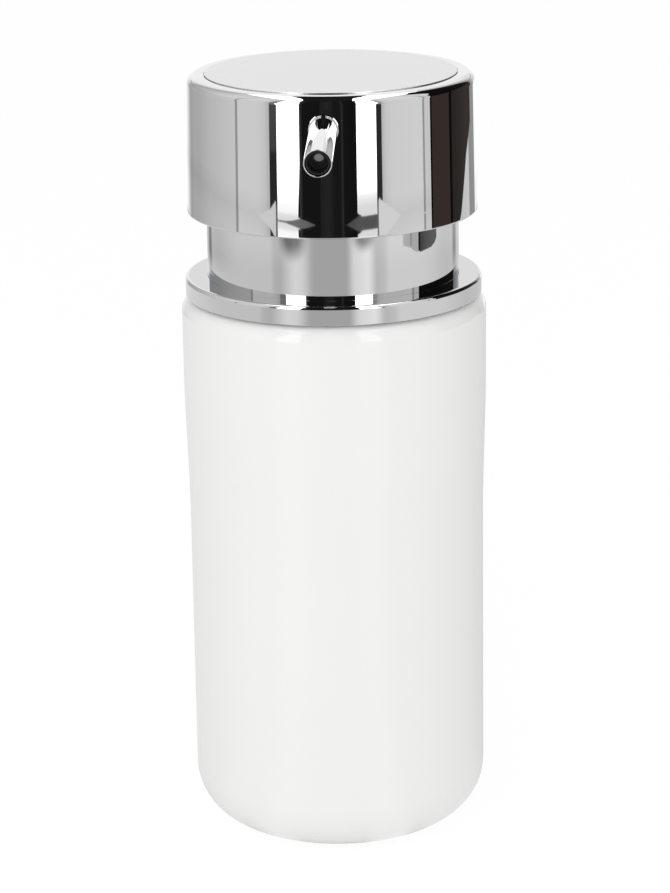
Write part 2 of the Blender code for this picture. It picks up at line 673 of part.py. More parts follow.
def make_spout(spout):
    """Chrome spout, the black liner in its mouth and the soap tube that feeds it."""
    bore_r = SPOUT_R - SPOUT_WALL
    corners = [
        (bore_r, -SPOUT_INSET),
        (SPOUT_R, -SPOUT_INSET),
        (SPOUT_R, SPOUT_REACH, SPOUT_WALL / 3),
        (bore_r, SPOUT_REACH),
    ]
    chrome = turned("spout_tube", corners, SIDES_SMALL, "bright_chrome", spout)
    shoulder_r = SPOUT_R + SHOULDER_PROUD
    middle = SPOUT_R - SPOUT_WALL / 2
    corners = [
        (middle, -HEAD_WALL),
        (shoulder_r, -HEAD_WALL),
        (shoulder_r, SHOULDER_LENGTH, SHOULDER_PROUD / 2),
        (middle, SHOULDER_LENGTH),
    ]
    shoulder = turned("spout_shoulder", corners, SIDES_SMALL, parent=spout)
    corners = [
        (0, HEAD_Z),
        (HEAD_R + CLOSE, HEAD_Z),
        (head_radius(HEAD_TOP) + CLOSE, HEAD_TOP),
        (0, HEAD_TOP),
    ]
    combine(shoulder, "DIFFERENCE", turned("shoulder_seat", corners, SIDES_LARGE))
    combine(chrome, "UNION", shoulder)

    tube_r = SOAP_TUBE_BORE_R + SOAP_TUBE_WALL
    mouth = SPOUT_REACH - LINER_BACK
    back = mouth - LINER_LENGTH
    floor = mouth - LINER_RECESS
    web = floor - LINER_WEB
    liner_r = bore_r - CLOSE
    corners = [
        (tube_r + CLOSE, back),
        (liner_r, back),
        (liner_r, mouth),
        (liner_r - LINER_WALL, mouth),
        (liner_r - LINER_WALL, floor),
        (SOAP_TUBE_BORE_R, floor),
        (SOAP_TUBE_BORE_R, web),
        (tube_r + CLOSE, web),
    ]
    turned("nozzle_liner", corners, SIDES_SMALL, "black_plastic", spout)
    front = web - SEAT
    corners = [
        (SOAP_TUBE_BORE_R, -SPOUT_INSET - SOAP_TUBE_INSET),
        (tube_r, -SPOUT_INSET - SOAP_TUBE_INSET),
        (tube_r, front),
        (0, front),
        (0, front - SOAP_TUBE_LID),
        (SOAP_TUBE_BORE_R, front - SOAP_TUBE_LID),
    ]
    soap_tube = turned("soap_tube", corners, SIDES_SMALL // 2, "clear_plastic", spout)
    half_length, half_width = SOAP_SLIT_LENGTH / 2, SOAP_SLIT_WIDTH / 2
    slit_low = (-half_length, -half_width, front - 2 * SOAP_TUBE_LID)
    slit = block("soap_slit", slit_low, (half_length, half_width, front + SOAP_TUBE_LID))
    slit.parent = spout
    combine(soap_tube, "DIFFERENCE", slit)


def main():
    for left in list(bpy.data.objects):
        bpy.data.objects.remove(left, do_unlink=True)

    # The spout's own frame: its Z axis runs out along the spout from the head's surface.
    root_z = CORE_TOP + SEAT - SPOUT_COVER - SPOUT_R
    spout = link("spout_frame", None)
    spout.location = (0, -head_radius(root_z), root_z)
    spout.rotation_euler = (math.pi / 2 + SPOUT_SLOPE, 0, 0)
    inner_end = SPOUT_INSET + SOAP_TUBE_INSET
    duct_z = root_z + inner_end * math.sin(SPOUT_SLOPE)
    stem_top = duct_z - DUCT_FLOOR - SEAT

    make_bottle()
    make_neck()
    make_collar()
    make_closure()
    make_housing()
    make_guide()
    make_piston(stem_top)
    make_spring()
    make_head(spout)
    make_core(spout, duct_z, stem_top)
    make_spout(spout)


main()
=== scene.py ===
import math

import bmesh
import bpy
import numpy as np
from mathutils import Matrix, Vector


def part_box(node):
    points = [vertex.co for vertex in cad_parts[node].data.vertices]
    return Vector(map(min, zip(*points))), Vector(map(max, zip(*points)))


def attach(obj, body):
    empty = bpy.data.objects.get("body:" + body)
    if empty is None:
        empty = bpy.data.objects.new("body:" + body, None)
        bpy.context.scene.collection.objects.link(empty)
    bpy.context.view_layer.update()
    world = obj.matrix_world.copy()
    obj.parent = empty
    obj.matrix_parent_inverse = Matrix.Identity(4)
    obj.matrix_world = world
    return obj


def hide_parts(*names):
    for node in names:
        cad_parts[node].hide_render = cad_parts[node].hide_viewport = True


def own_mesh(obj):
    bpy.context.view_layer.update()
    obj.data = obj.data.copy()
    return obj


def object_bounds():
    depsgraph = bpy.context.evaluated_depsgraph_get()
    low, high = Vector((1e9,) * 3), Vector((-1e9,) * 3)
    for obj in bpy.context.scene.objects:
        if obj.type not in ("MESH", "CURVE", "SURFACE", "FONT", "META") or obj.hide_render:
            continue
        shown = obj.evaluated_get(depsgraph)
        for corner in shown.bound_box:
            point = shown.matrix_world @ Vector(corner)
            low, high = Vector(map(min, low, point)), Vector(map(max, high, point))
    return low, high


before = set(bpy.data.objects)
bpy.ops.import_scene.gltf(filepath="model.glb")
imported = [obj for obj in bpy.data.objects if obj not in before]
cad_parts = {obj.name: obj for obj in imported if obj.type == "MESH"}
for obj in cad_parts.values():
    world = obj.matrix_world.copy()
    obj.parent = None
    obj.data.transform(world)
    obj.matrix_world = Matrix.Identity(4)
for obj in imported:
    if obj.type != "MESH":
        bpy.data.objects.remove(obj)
cad_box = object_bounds()

# Camera
# It stands on the spout's side, three degrees to the right of the spout, and looks down on the
# head. The vertical field of view is that of a 129 mm lens on 36 mm film.
CAMERA_PLACE = (0.0373, -0.7123, 0.3005)
CAMERA_TURN = math.radians(3.017)
CAMERA_TILT = math.radians(73.53)
CAMERA_ROLL = math.radians(-0.844)
CAMERA_LENS = 128.86
CAMERA_FILM = 36.0

camera = bpy.data.objects.new("camera", bpy.data.cameras.new("camera"))
camera.data.lens = CAMERA_LENS
camera.data.sensor_width = CAMERA_FILM
camera.matrix_world = (
    Matrix.Translation(CAMERA_PLACE)
    @ Matrix.Rotation(CAMERA_TURN, 4, "Z")
    @ Matrix.Rotation(CAMERA_TILT, 4, "X")
    @ Matrix.Rotation(CAMERA_ROLL, 4, "Z")
)
bpy.context.scene.collection.objects.link(camera)
bpy.context.scene.camera = camera
bpy.context.scene.view_settings.view_transform = "Standard"


# Bottle
# Slip-cast ceramic with a clear glossy glaze over a white body. It draws in a little below its
# shoulder, has a large round base edge, and its foot is wiped free of glaze before firing.
SEAT = 0.0003  # gap between pieces that rest on each other
HOLD = 0.00006  # from an arc to the point that keeps the flat beside it flat
LONG_RUN = 0.0008
SIDE_SHARE = 0.49  # most of a straight side that the fillet at one of its ends may use
ARC_STEP = math.radians(5)
AROUND = 256
SHARP = math.radians(32)
WELD = 1e-7

bottle_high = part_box("bottle")[1]
BOTTLE_WALL = 0.0040
BOTTLE_FLOOR = 0.0050
BOTTLE_ROOF = 0.0070
BOTTLE_SWELL = 0.00072
SWELL_START = 0.0740
SWELL_END = 0.1100
SWELL_ROWS = 25
BASE_FILLET = 0.01285
SHOULDER_FILLET = 0.0035
MOUTH_FILLET = 0.0003
INSERT_LIP = 0.0013
INSERT_LIP_PROUD = 0.0042
GLAZE_FOOT = (0.0009, 0.0004)  # heights between which the glaze thins out to the bare foot


def outline(corners, closed=True):
    """Points of an outline through (radius, height, fillet) corners.

    A fillet is an arc that touches both sides of its corner: its points are centre + spoke turned
    in equal steps. A long straight run gets a point close to each end.
    """
    places = [complex(corner[0], corner[1]) for corner in corners]
    runs = []
    for index, corner in enumerate(corners):
        here = places[index]
        if len(corner) < 3 or not corner[2]:
            runs.append(np.array([here]))
            continue
        before = places[index - 1] - here
        after = places[(index + 1) % len(places)] - here
        half_angle = abs(np.angle(after / before)) / 2
        reach = min(corner[2] / math.tan(half_angle), SIDE_SHARE * abs(before), SIDE_SHARE * abs(after))
        radius = reach * math.tan(half_angle)
        bisector = before / abs(before) + after / abs(after)
        centre = here + bisector / abs(bisector) * radius / math.sin(half_angle)
        first = here + before / abs(before) * reach - centre
        turn = np.angle((here + after / abs(after) * reach - centre) / first)
        steps = max(math.ceil(abs(turn) / ARC_STEP), 3)
        runs.append(centre + first * np.exp(1j * np.linspace(0, turn, steps + 1)))
    points = []
    for run, after in zip(runs, runs[1:] + runs[:1]):
        points.append(run)
        side = after[0] - run[-1]
        if abs(side) > LONG_RUN:
            hold = HOLD * side / abs(side)
            points.append(np.array([run[-1] + hold, after[0] - hold]))
    if not closed and abs(runs[0][0] - runs[-1][-1]) > LONG_RUN:
        points.pop()
    points = np.concatenate(points)
    return np.stack([points.real, points.imag], axis=1)


def skin(name, grid, closed=True):
    """Mesh over a grid of points. Its columns close on themselves, and its rows too where closed.

    Points that meet, as all those of a row at a pole do, are welded.
    """
    rows, columns = grid.shape[:2]
    index = np.arange(rows * columns).reshape(rows, columns)
    above = np.roll(index, -1, axis=0)
    quads = np.stack([index, np.roll(index, -1, 1), np.roll(above, -1, 1), above], axis=-1)
    if not closed:
        quads = quads[:-1]
    mesh = bpy.data.meshes.new(name)
    mesh.from_pydata(grid.reshape(-1, 3), [], quads.reshape(-1, 4).tolist())
    shape = bmesh.new()
    shape.from_mesh(mesh)
    bmesh.ops.remove_doubles(shape, verts=shape.verts, dist=WELD)
    bmesh.ops.recalc_face_normals(shape, faces=shape.faces)
    shape.to_mesh(mesh)
    shape.free()
    mesh.shade_smooth()
    mesh.set_sharp_from_angle(angle=SHARP)
    piece = bpy.data.objects.new(name, mesh)
    bpy.context.scene.collection.objects.link(piece)
    return piece


def spun(points, around=AROUND):
    """Grid of a turned surface: point (r, z) at angle a lies at (r cos a, r sin a, z)."""
    angle = np.arange(around) * 2 * math.pi / around
    radius, height = points.T
    return np.stack(
        [
            np.outer(radius, np.cos(angle)),
            np.outer(radius, np.sin(angle)),
            np.outer(height, np.ones(around)),
        ],
        axis=-1,
    )


def turned(name, corners, around=AROUND, closed=True):
    """Mesh of the outline through these corners, turned about the axis."""
    return skin(name, spun(outline(corners, closed), around), closed)


def fit(piece, body, slot, material, *nodes):
    """Give the piece its finish and its body, in the place of the nodes that it stands for."""
    piece.data.materials.append(material)
    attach(piece, body)
    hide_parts(*nodes)


class Shade:
    """A value in a shader. Arithmetic on it, such as 1 - mask, adds Math nodes."""

    def __init__(self, tree, socket=None):
        self.tree = tree
        self.socket = socket

    def node(self, kind, settings=None, inputs=None, output=0):
        """Add a node: its settings come first, then its sockets' values or links."""
        made = self.tree.nodes.new("ShaderNode" + kind)
        for key, value in (settings or {}).items():
            setattr(made, key, value)
        for key, value in (inputs or {}).items():
            if isinstance(value, Shade):
                self.tree.links.new(value.socket, made.inputs[key])
            else:
                made.inputs[key].default_value = value
        return Shade(self.tree, made.outputs[output] if len(made.outputs) else None)

    def math(self, operation, first, second=0.0, clamp=False):
        return self.node("Math", {"operation": operation, "use_clamp": clamp}, {0: first, 1: second})

    def __add__(self, other):
        return self.math("ADD", self, other)

    def __radd__(self, other):
        return self.math("ADD", other, self)

    def __sub__(self, other):
        return self.math("SUBTRACT", self, other)

    def __rsub__(self, other):
        return self.math("SUBTRACT", other, self)

    def __mul__(self, other):
        return self.math("MULTIPLY", self, other)

    def __rmul__(self, other):
        return self.math("MULTIPLY", other, self)

    def step(self, low, high):
        """0 below low, 1 above high and a smooth rise between; the other way round if low > high."""
        start, end = min(low, high), max(low, high)
        rise = {"Value": self, "From Min": start, "From Max": end}
        if low > high:
            rise.update({"To Min": 1.0, "To Max": 0.0})
        return self.node("MapRange", {"interpolation_type": "SMOOTHSTEP"}, rise)

    def mix(self, start, end):
        """A colour between two, by this value."""
        sockets = {0: self, 6: start, 7: end}
        return self.node("Mix", {"data_type": "RGBA"}, sockets, output=2)


def start_material(name):
    """A material cleared of nodes, as a Shade to build on, and its Object coordinates."""
    material = bpy.data.materials.new(name)
    material.use_nodes = True
    material.node_tree.nodes.clear()
    shade = Shade(material.node_tree)
    return material, shade, shade.node("TexCoord", output="Object")


def end_material(material, shade, sockets, bumps):
    """Link the Principled shader with these sockets and a bump of (height, strength, distance)."""
    bump = shade.node("Bump", inputs=dict(zip(("Height", "Strength", "Distance"), bumps)))
    principled = shade.node("BsdfPrincipled", inputs={**sockets, "Normal": bump})
    shade.node("OutputMaterial", inputs={"Surface": principled})
    return material


def noise(shade, place, scale, detail=2.0):
    """Cloudy noise from 0 to 1, with features of about 1 / scale metres."""
    settings = {"noise_dimensions": "3D"}
    return shade.node("TexNoise", settings, {"Vector": place, "Scale": scale, "Detail": detail})


def glaze():
    """White body under a clear glaze: faint clouds, a slow ripple, rare pinholes, a bare foot."""
    material, shade, place = start_material("white_glaze")
    height = shade.node("SeparateXYZ", inputs={"Vector": place}, output=2)
    bare = height.step(*GLAZE_FOOT)
    clouds = noise(shade, place, 34.0, 3.0)
    cells = {"Vector": place, "Scale": 60.0}
    pin = shade.node("TexVoronoi", {"feature": "F1"}, cells, output=0).step(0.016, 0.008)
    pin = pin * noise(shade, place, 41.0).step(0.60, 0.66)
    colour = clouds.mix((0.868, 0.868, 0.860, 1.0), (0.885, 0.885, 0.878, 1.0))
    colour = pin.mix(colour, (0.62, 0.60, 0.57, 1.0))
    colour = bare.mix(colour, (0.80, 0.77, 0.72, 1.0))
    grit = noise(shade, place, 2600.0, 4.0) * bare
    ripple = noise(shade, place, 130.0, 1.0) * 0.5 - pin
    sockets = {
        "Base Color": colour,
        "Roughness": 0.07 + clouds * 0.04 + bare * 0.6,
        "IOR": 1.5,
    }
    return end_material(material, shade, sockets, (ripple + grit * 0.5, 0.2, 0.00008))


def bottle_swell(height):
    """How far the side stands out: a smooth step from its lower to its upper radius."""
    share = np.clip((height - SWELL_START) / (SWELL_END - SWELL_START), 0, 1)
    return BOTTLE_SWELL * share**2 * (3 - 2 * share)


def bottle_corners():
    """Outside from the base to the mouth, then the stepped mouth and the cavity back down."""
    lip_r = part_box("neck_insert")[1].x + SEAT
    lip_z = bottle_high.z - INSERT_LIP - SEAT
    mouth_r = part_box("neck_insert")[1].x - INSERT_LIP_PROUD + SEAT
    lower_r = bottle_high.x - BOTTLE_SWELL
    roof = bottle_high.z - BOTTLE_ROOF
    heights = np.linspace(SWELL_START, SWELL_END, SWELL_ROWS)
    side = [(lower_r + bottle_swell(height), height) for height in heights]
    inside = [(radius - BOTTLE_WALL, height) for radius, height in reversed(side)]
    corners = [(0, 0), (lower_r, 0, BASE_FILLET)]
    corners += side
    corners += [
        (bottle_high.x, bottle_high.z, SHOULDER_FILLET),
        (lip_r, bottle_high.z, MOUTH_FILLET),
        (lip_r, lip_z),
        (mouth_r, lip_z, MOUTH_FILLET),
        (mouth_r, roof, MOUTH_FILLET),
        (bottle_high.x - BOTTLE_WALL, roof, SHOULDER_FILLET),
    ]
    corners += inside
    corners += [(lower_r - BOTTLE_WALL, BOTTLE_FLOOR, BASE_FILLET - BOTTLE_WALL), (0, BOTTLE_FLOOR)]
    return corners


bottle = turned("glazed_bottle", bottle_corners(), closed=False)
fit(bottle, "bottle_body", "white_glaze", glaze(), "bottle")


# Neck insert
# Injection-moulded plastic ring, glued into the ceramic mouth, with the screw thread that takes
# the pump's closure. Its lip lies in the step of the mouth, under the neck gasket.
insert_low, insert_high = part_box("neck_insert")
closure_low, closure_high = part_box("closure_plug")
INSERT_WALL = 0.0032
EDGE = 0.0002
THREAD_PITCH = 0.0034
THREAD_DEPTH = 0.0009
THREAD_FADE = 0.0016
THREAD_FLATNESS = 1.6
THREAD_FOOT = 0.0016
THREAD_HEAD = 0.0030
THREAD_ROWS = 72


def white_plastic():
    """Natural white polypropylene: a satin skin with fine moulding grain and soft flow clouds."""
    material, shade, place = start_material("white_plastic")
    clouds = noise(shade, place, 55.0)
    grain = noise(shade, place, 3200.0, 3.0)
    sockets = {
        "Base Color": clouds.mix((0.80, 0.80, 0.78, 1.0), (0.84, 0.84, 0.825, 1.0)),
        "Roughness": 0.34 + clouds * 0.12,
        "IOR": 1.49,
    }
    return end_material(material, shade, sockets, (grain, 0.25, 0.00003))


def threaded(grid, radius, low, high):
    """Wave the part of a turned grid that lies on one radius into a screw thread.

    The phase is height / pitch - angle / turn. The radius gains half the depth times a flat-topped
    cosine of the phase, which fades out towards both ends of the thread.
    """
    across = np.hypot(grid[..., 0], grid[..., 1])
    height = grid[..., 2]
    phase = height / THREAD_PITCH - np.arctan2(grid[..., 1], grid[..., 0]) / (2 * math.pi)
    wave = np.clip(THREAD_FLATNESS * np.cos(2 * math.pi * phase), -1, 1)
    fade = np.clip(np.minimum(height - low, high - height) / THREAD_FADE, 0, 1)
    cut = np.where(np.abs(across - radius) < EDGE / 2, wave * fade * THREAD_DEPTH / 2, 0)
    grid[..., :2] *= ((across + cut) / across)[..., None]
    return grid


white = white_plastic()
thread_low = closure_low.z + THREAD_FOOT
thread_high = insert_high.z - THREAD_HEAD
insert_r = insert_high.x - INSERT_LIP_PROUD
insert_bore_r = insert_r - INSERT_WALL
thread_heights = np.linspace(thread_high, thread_low, THREAD_ROWS)
insert_corners = [
    (insert_r, insert_low.z, EDGE),
    (insert_r, insert_high.z - INSERT_LIP, EDGE),
    (insert_high.x, insert_high.z - INSERT_LIP, EDGE),
    (insert_high.x, insert_high.z, EDGE),
    (insert_bore_r, insert_high.z, EDGE),
    *[(insert_bore_r, height) for height in thread_heights],
    (insert_bore_r, insert_low.z, EDGE),
]
insert_grid = threaded(spun(outline(insert_corners)), insert_bore_r, thread_low, thread_high)
insert = skin("threaded_insert", insert_grid)
fit(insert, "bottle_body", "white_plastic", white, "neck_insert")


# Gaskets
# Two flat rings cut from grey rubber: the larger seals the collar on the neck insert, the smaller
# seals the pump housing in the closure.
GASKET_EDGE = 0.00012
NECK_GASKET_WIDTH = 0.0059
HOUSING_GASKET_WIDTH = 0.0040


def rubber():
    """Soft grey rubber, dull, with talc in its grain."""
    material, shade, place = start_material("soft_seal")
    grain = noise(shade, place, 1900.0, 4.0)
    talc = noise(shade, place, 240.0, 3.0)
    sockets = {
        "Base Color": talc.mix((0.17, 0.18, 0.19, 1.0), (0.24, 0.25, 0.26, 1.0)),
        "Roughness": 0.62 + grain * 0.16,
    }
    return end_material(material, shade, sockets, (grain, 0.4, 0.00005))


def flat_ring(name, node, width):
    """A ring as wide as this inwards from the node's outer radius, with softened edges."""
    low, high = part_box(node)
    corners = [
        (high.x - width, low.z, GASKET_EDGE),
        (high.x, low.z, GASKET_EDGE),
        (high.x, high.z, GASKET_EDGE),
        (high.x - width, high.z, GASKET_EDGE),
    ]
    return turned(name, corners)


seal_rubber = rubber()
neck_ring = flat_ring("neck_seal_ring", "neck_gasket", NECK_GASKET_WIDTH)
fit(neck_ring, "pump_body", "soft_seal", seal_rubber, "neck_gasket")
housing_ring = flat_ring("housing_seal_ring", "housing_gasket", HOUSING_GASKET_WIDTH)
fit(housing_ring, "pump_body", "soft_seal", seal_rubber, "housing_gasket")


# Collar
# The flange ring rests on the bottle's shoulder and the sleeve stands in its groove. Both are
# brass pressings, polished and plated with bright chrome, and only the plating shows.
flange_low, flange_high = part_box("flange_ring")
sleeve_low, sleeve_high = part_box("collar_sleeve")
FLANGE_FILLET = 0.0008
FLANGE_EDGE = 0.0002
CLOSE = 0.00015
COLLAR_SEAM = 0.00006
SLEEVE_WALL = 0.0012
SLEEVE_LIP = 0.0020
SLEEVE_FILLET = 0.0008
GASKET_BED = 0.0013 + SEAT
GASKET_INSET = 0.0009


def chrome(name, tint, roughness, grain):
    """Plated metal: a mirror with slow waves from its moulding, faint wipe marks and rare dust."""
    material, shade, place = start_material(name)
    wipes = noise(shade, place, 48.0, 3.0)
    cells = {"Vector": place, "Scale": 420.0}
    dust = shade.node("TexVoronoi", {"feature": "F1"}, cells, output=0).step(0.11, 0.07)
    dust = dust * noise(shade, place, 95.0).step(0.66, 0.70)
    waves = noise(shade, place, 70.0, 1.0)
    fine = noise(shade, place, 5200.0, 2.0)
    height = waves * 0.06 + fine * grain + dust * 0.4
    sockets = {
        "Base Color": dust.mix((*tint, 1.0), (0.62, 0.62, 0.60, 1.0)),
        "Metallic": 1 - dust * 0.7,
        "Roughness": roughness + wipes * 0.01 + dust * 0.4,
    }
    return end_material(material, shade, sockets, (height, 0.3, 0.00002))


bright_chrome = chrome("bright_chrome", (0.70, 0.70, 0.705), 0.008, 0.0)
groove = sleeve_low.z - SEAT
sleeve_r = sleeve_high.x
sleeve_bore_r = sleeve_r - SLEEVE_WALL
flange_corners = [
    (insert_bore_r, flange_low.z),
    (insert_bore_r + GASKET_INSET, flange_low.z),
    (insert_bore_r + GASKET_INSET, flange_low.z + GASKET_BED),
    (insert_high.x, flange_low.z + GASKET_BED),
    (insert_high.x, flange_low.z),
    (flange_high.x, flange_low.z, FLANGE_EDGE),
    (flange_high.x, flange_high.z, FLANGE_FILLET),
    (sleeve_r + COLLAR_SEAM, flange_high.z, COLLAR_SEAM),
    (sleeve_r + COLLAR_SEAM, groove),
    (sleeve_bore_r - CLOSE, groove),
    (sleeve_bore_r - CLOSE, flange_high.z),
    (insert_bore_r, flange_high.z),
]
flange = turned("chrome_flange", flange_corners)
fit(flange, "pump_body", "bright_chrome", bright_chrome, "flange_ring")

sleeve_corners = [
    (sleeve_bore_r, sleeve_low.z),
    (sleeve_r, sleeve_low.z, CLOSE / 2),
    (sleeve_r, sleeve_high.z, SLEEVE_FILLET),
    (sleeve_bore_r - SLEEVE_LIP, sleeve_high.z, CLOSE),
    (sleeve_bore_r - SLEEVE_LIP, sleeve_high.z - SLEEVE_WALL),
    (sleeve_bore_r, sleeve_high.z - SLEEVE_WALL),
]
sleeve = turned("chrome_sleeve", sleeve_corners)
fit(sleeve, "pump_body", "bright_chrome", bright_chrome, "collar_sleeve")


# Closure
# One moulding: the screw plug that turns into the neck insert, and above it the cup that the
# sleeve is pressed on. Its thread follows the insert's with a small gap all along.
CLOSURE_FLOOR = 0.0020
CLOSURE_PLATE = 0.0025
CLOSURE_WALL = 0.0031
CUP_WALL = 0.0020
HOUSING_FLANGE_PROUD = 0.0043

closure_r = insert_bore_r - SEAT
closure_bore_r = closure_r - CLOSURE_WALL
housing_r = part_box("pump_housing")[1].x - HOUSING_FLANGE_PROUD
plate = flange_high.z + SEAT
closure_corners = [
    (housing_r + SEAT, closure_low.z, EDGE),
    (closure_r, closure_low.z, EDGE),
    *[(closure_r, height) for height in reversed(thread_heights)],
    (closure_r, plate),
    (closure_high.x, plate, EDGE),
    (closure_high.x, closure_high.z, EDGE),
    (closure_high.x - CUP_WALL, closure_high.z, EDGE),
    (closure_high.x - CUP_WALL, plate + CLOSURE_PLATE, EDGE),
    (closure_bore_r, plate + CLOSURE_PLATE, EDGE),
    (closure_bore_r, closure_low.z + CLOSURE_FLOOR),
    (housing_r + SEAT, closure_low.z + CLOSURE_FLOOR, EDGE),
]
closure_grid = threaded(spun(outline(closure_corners)), closure_r, thread_low, thread_high)
closure = skin("threaded_closure", closure_grid)
fit(closure, "pump_body", "white_plastic", white, "closure_plug")


# Pump housing and dip tube
# Milky, half-clear plastic. The housing hangs by its flange in the closure and holds the ball
# seat and the socket of the tube, whose foot is cut at a slant so that it can't seal on the floor.
housing_low, housing_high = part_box("pump_housing")
tube_low, tube_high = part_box("dip_tube")
HOUSING_WALL = 0.0015
HOUSING_FLANGE = 0.0015
TUBE_WALL = 0.0009
TUBE_SOCKET_WALL = 0.0017
TUBE_SOCKET_LENGTH = 0.0100
TUBE_SLANT = math.radians(25)
BALL_AIR = 0.0009
BALL_SEAT_R = 0.0016
TUBE_ROWS = 40


def milky_plastic():
    """Unpigmented plastic: it lets some light through and scatters it, with faint flow lines."""
    material, shade, place = start_material("clear_plastic")
    stretch = {"Vector": place, "Scale": (1.0, 1.0, 0.06)}
    lines = noise(shade, shade.node("Mapping", inputs=stretch), 380.0)
    sockets = {
        "Base Color": lines.mix((0.785, 0.815, 0.825, 1.0), (0.81, 0.84, 0.85, 1.0)),
        "Roughness": 0.26 + lines * 0.03,
        "IOR": 1.49,
        "Transmission Weight": 0.3,
    }
    return end_material(material, shade, sockets, (lines, 0.04, 0.00003))


milky = milky_plastic()
ball_low, ball_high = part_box("inlet_ball")
ball_r = ball_high.x
ball_z = (ball_low.z + ball_high.z) / 2
seat_apex = ball_z - ball_r * math.sqrt(2)
socket_r = tube_high.x + CLOSE
socket_out_r = socket_r + TUBE_SOCKET_WALL
socket_top = housing_low.z + TUBE_SOCKET_LENGTH
seat_z = seat_apex + BALL_SEAT_R
flange_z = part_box("housing_gasket")[1].z + SEAT
ledge_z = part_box("spring_seat")[0].z - SEAT
housing_corners = [
    (socket_r, housing_low.z, EDGE),
    (socket_out_r, housing_low.z, EDGE),
    (socket_out_r, seat_z, EDGE),
    (housing_r, seat_z + housing_r - socket_out_r, EDGE),
    (housing_r, flange_z),
    (housing_high.x, flange_z, EDGE),
    (housing_high.x, flange_z + HOUSING_FLANGE, EDGE),
    (housing_r, flange_z + HOUSING_FLANGE),
    (housing_r, housing_high.z, EDGE),
    (housing_r - HOUSING_WALL, housing_high.z, EDGE),
    (housing_r - HOUSING_WALL, ledge_z),
    (ball_r + BALL_AIR, ledge_z, EDGE),
    (ball_r + BALL_AIR, seat_apex + ball_r + BALL_AIR),
    (BALL_SEAT_R, seat_z),
    (BALL_SEAT_R, socket_top),
    (socket_r, socket_top),
]
housing = turned("clear_housing", housing_corners, AROUND // 2)
fit(housing, "pump_body", "clear_plastic", milky, "pump_housing")

tube_bore_r = tube_high.x - TUBE_WALL
tube_heights = np.linspace(tube_low.z, tube_high.z, TUBE_ROWS)
tube_grid = spun(
    np.array(
        [(tube_high.x, height) for height in tube_heights]
        + [(tube_bore_r, height) for height in reversed(tube_heights)]
    ),
    AROUND // 4,
)
# The slant lifts a point by its place across the tube, and less the higher that it lies.
foot_share = np.clip(1 - (tube_grid[..., 2] - tube_low.z) / (tube_high.z - tube_low.z), 0, 1)
tube_grid[..., 2] += (tube_grid[..., 0] + tube_high.x) * math.tan(TUBE_SLANT) * foot_share
dip_tube = skin("slant_tube", tube_grid)
fit(dip_tube, "pump_body", "clear_plastic", milky, "dip_tube")


# Valve balls
# Two ground steel balls: the lower keeps the soap in the housing, the upper keeps it in the stem.
BALL_ROWS = 32


def steel(name, tint, roughness):
    """Drawn or ground steel with fine lines along the height and light oil clouds."""
    material, shade, place = start_material(name)
    clouds = noise(shade, place, 330.0)
    stretch = {"Vector": place, "Scale": (1.0, 1.0, 6.0)}
    lines = noise(shade, shade.node("Mapping", inputs=stretch), 1500.0, 3.0)
    dark = tuple(0.93 * part for part in tint)
    sockets = {
        "Base Color": clouds.mix((*dark, 1.0), (*tint, 1.0)),
        "Metallic": 1.0,
        "Roughness": roughness + clouds * 0.08,
    }
    return end_material(material, shade, sockets, (lines, 0.12, 0.00001))


def valve_ball(name, node):
    """A sphere in the node's place: (r sin a, z + r cos a) turned about the axis."""
    low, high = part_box(node)
    angle = np.linspace(0, math.pi, BALL_ROWS)
    points = np.stack([high.x * np.sin(angle), (low.z + high.z) / 2 + high.x * np.cos(angle)], 1)
    return skin(name, spun(points, AROUND // 4), closed=False)


ball_steel = steel("ball_steel", (0.66, 0.66, 0.65), 0.10)
for node in ("inlet_ball", "outlet_ball"):
    fit(valve_ball(f"steel_{node}", node), f"{node}_body", "spring_steel", ball_steel, node)


# Spring seat and return spring
# The seat is a small plastic dish with a hole, pressed over the inlet ball. The spring is stainless
# wire, wound with one close turn at each end, and the press on the head shortens it.
seat_low, seat_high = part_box("spring_seat")
spring_low, spring_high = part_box("return_spring")
WIRE_R = 0.0005
SPRING_R = 0.0043
SPRING_TURNS = 9
SPRING_END_PITCH = 0.0016
SPRING_ROWS = 400
WIRE_AROUND = 14
WIRE_TIP = 0.001  # how far past its last row the wire closes, as a share of a row

seat_corners = [
    (BALL_SEAT_R, seat_low.z, EDGE),
    (seat_high.x, seat_low.z, EDGE),
    (seat_high.x, seat_high.z, EDGE),
    (SPRING_R - 2 * WIRE_R, seat_high.z, EDGE),
    (BALL_SEAT_R, (seat_low.z + seat_high.z) / 2),
]
spring_dish = turned("spring_dish", seat_corners, AROUND // 4)
fit(spring_dish, "pump_body", "white_plastic", white, "spring_seat")


def wound(turns):
    """Height of the wire after this many turns: a close turn at each end, even ones between."""
    low, high = spring_low.z + WIRE_R, spring_high.z - WIRE_R
    middle = SPRING_TURNS - 2
    pitch = (high - low - 2 * SPRING_END_PITCH) / middle
    in_middle = np.clip(turns - 1, 0, middle)
    at_ends = np.minimum(turns, 1) + np.maximum(turns - 1 - middle, 0)
    return low + pitch * in_middle + SPRING_END_PITCH * at_ends


def swept(name, path, radius, around):
    """A round section carried along a path: path + radius (side cos a + up sin a).

    The side is square to the path and level, and the up vector is square to both. The radius
    may change along the path, and falls to nothing where an end is closed.
    """
    along = np.gradient(path, axis=0)
    along /= np.linalg.norm(along, axis=1, keepdims=True)
    side = np.cross(along, (0, 0, 1))
    side /= np.linalg.norm(side, axis=1, keepdims=True)
    up = np.cross(side, along)
    angle = np.arange(around) * 2 * math.pi / around
    round_part = side[:, None] * np.cos(angle)[:, None] + up[:, None] * np.sin(angle)[:, None]
    return skin(name, path[:, None] + np.reshape(radius, (-1, 1, 1)) * round_part, closed=False)


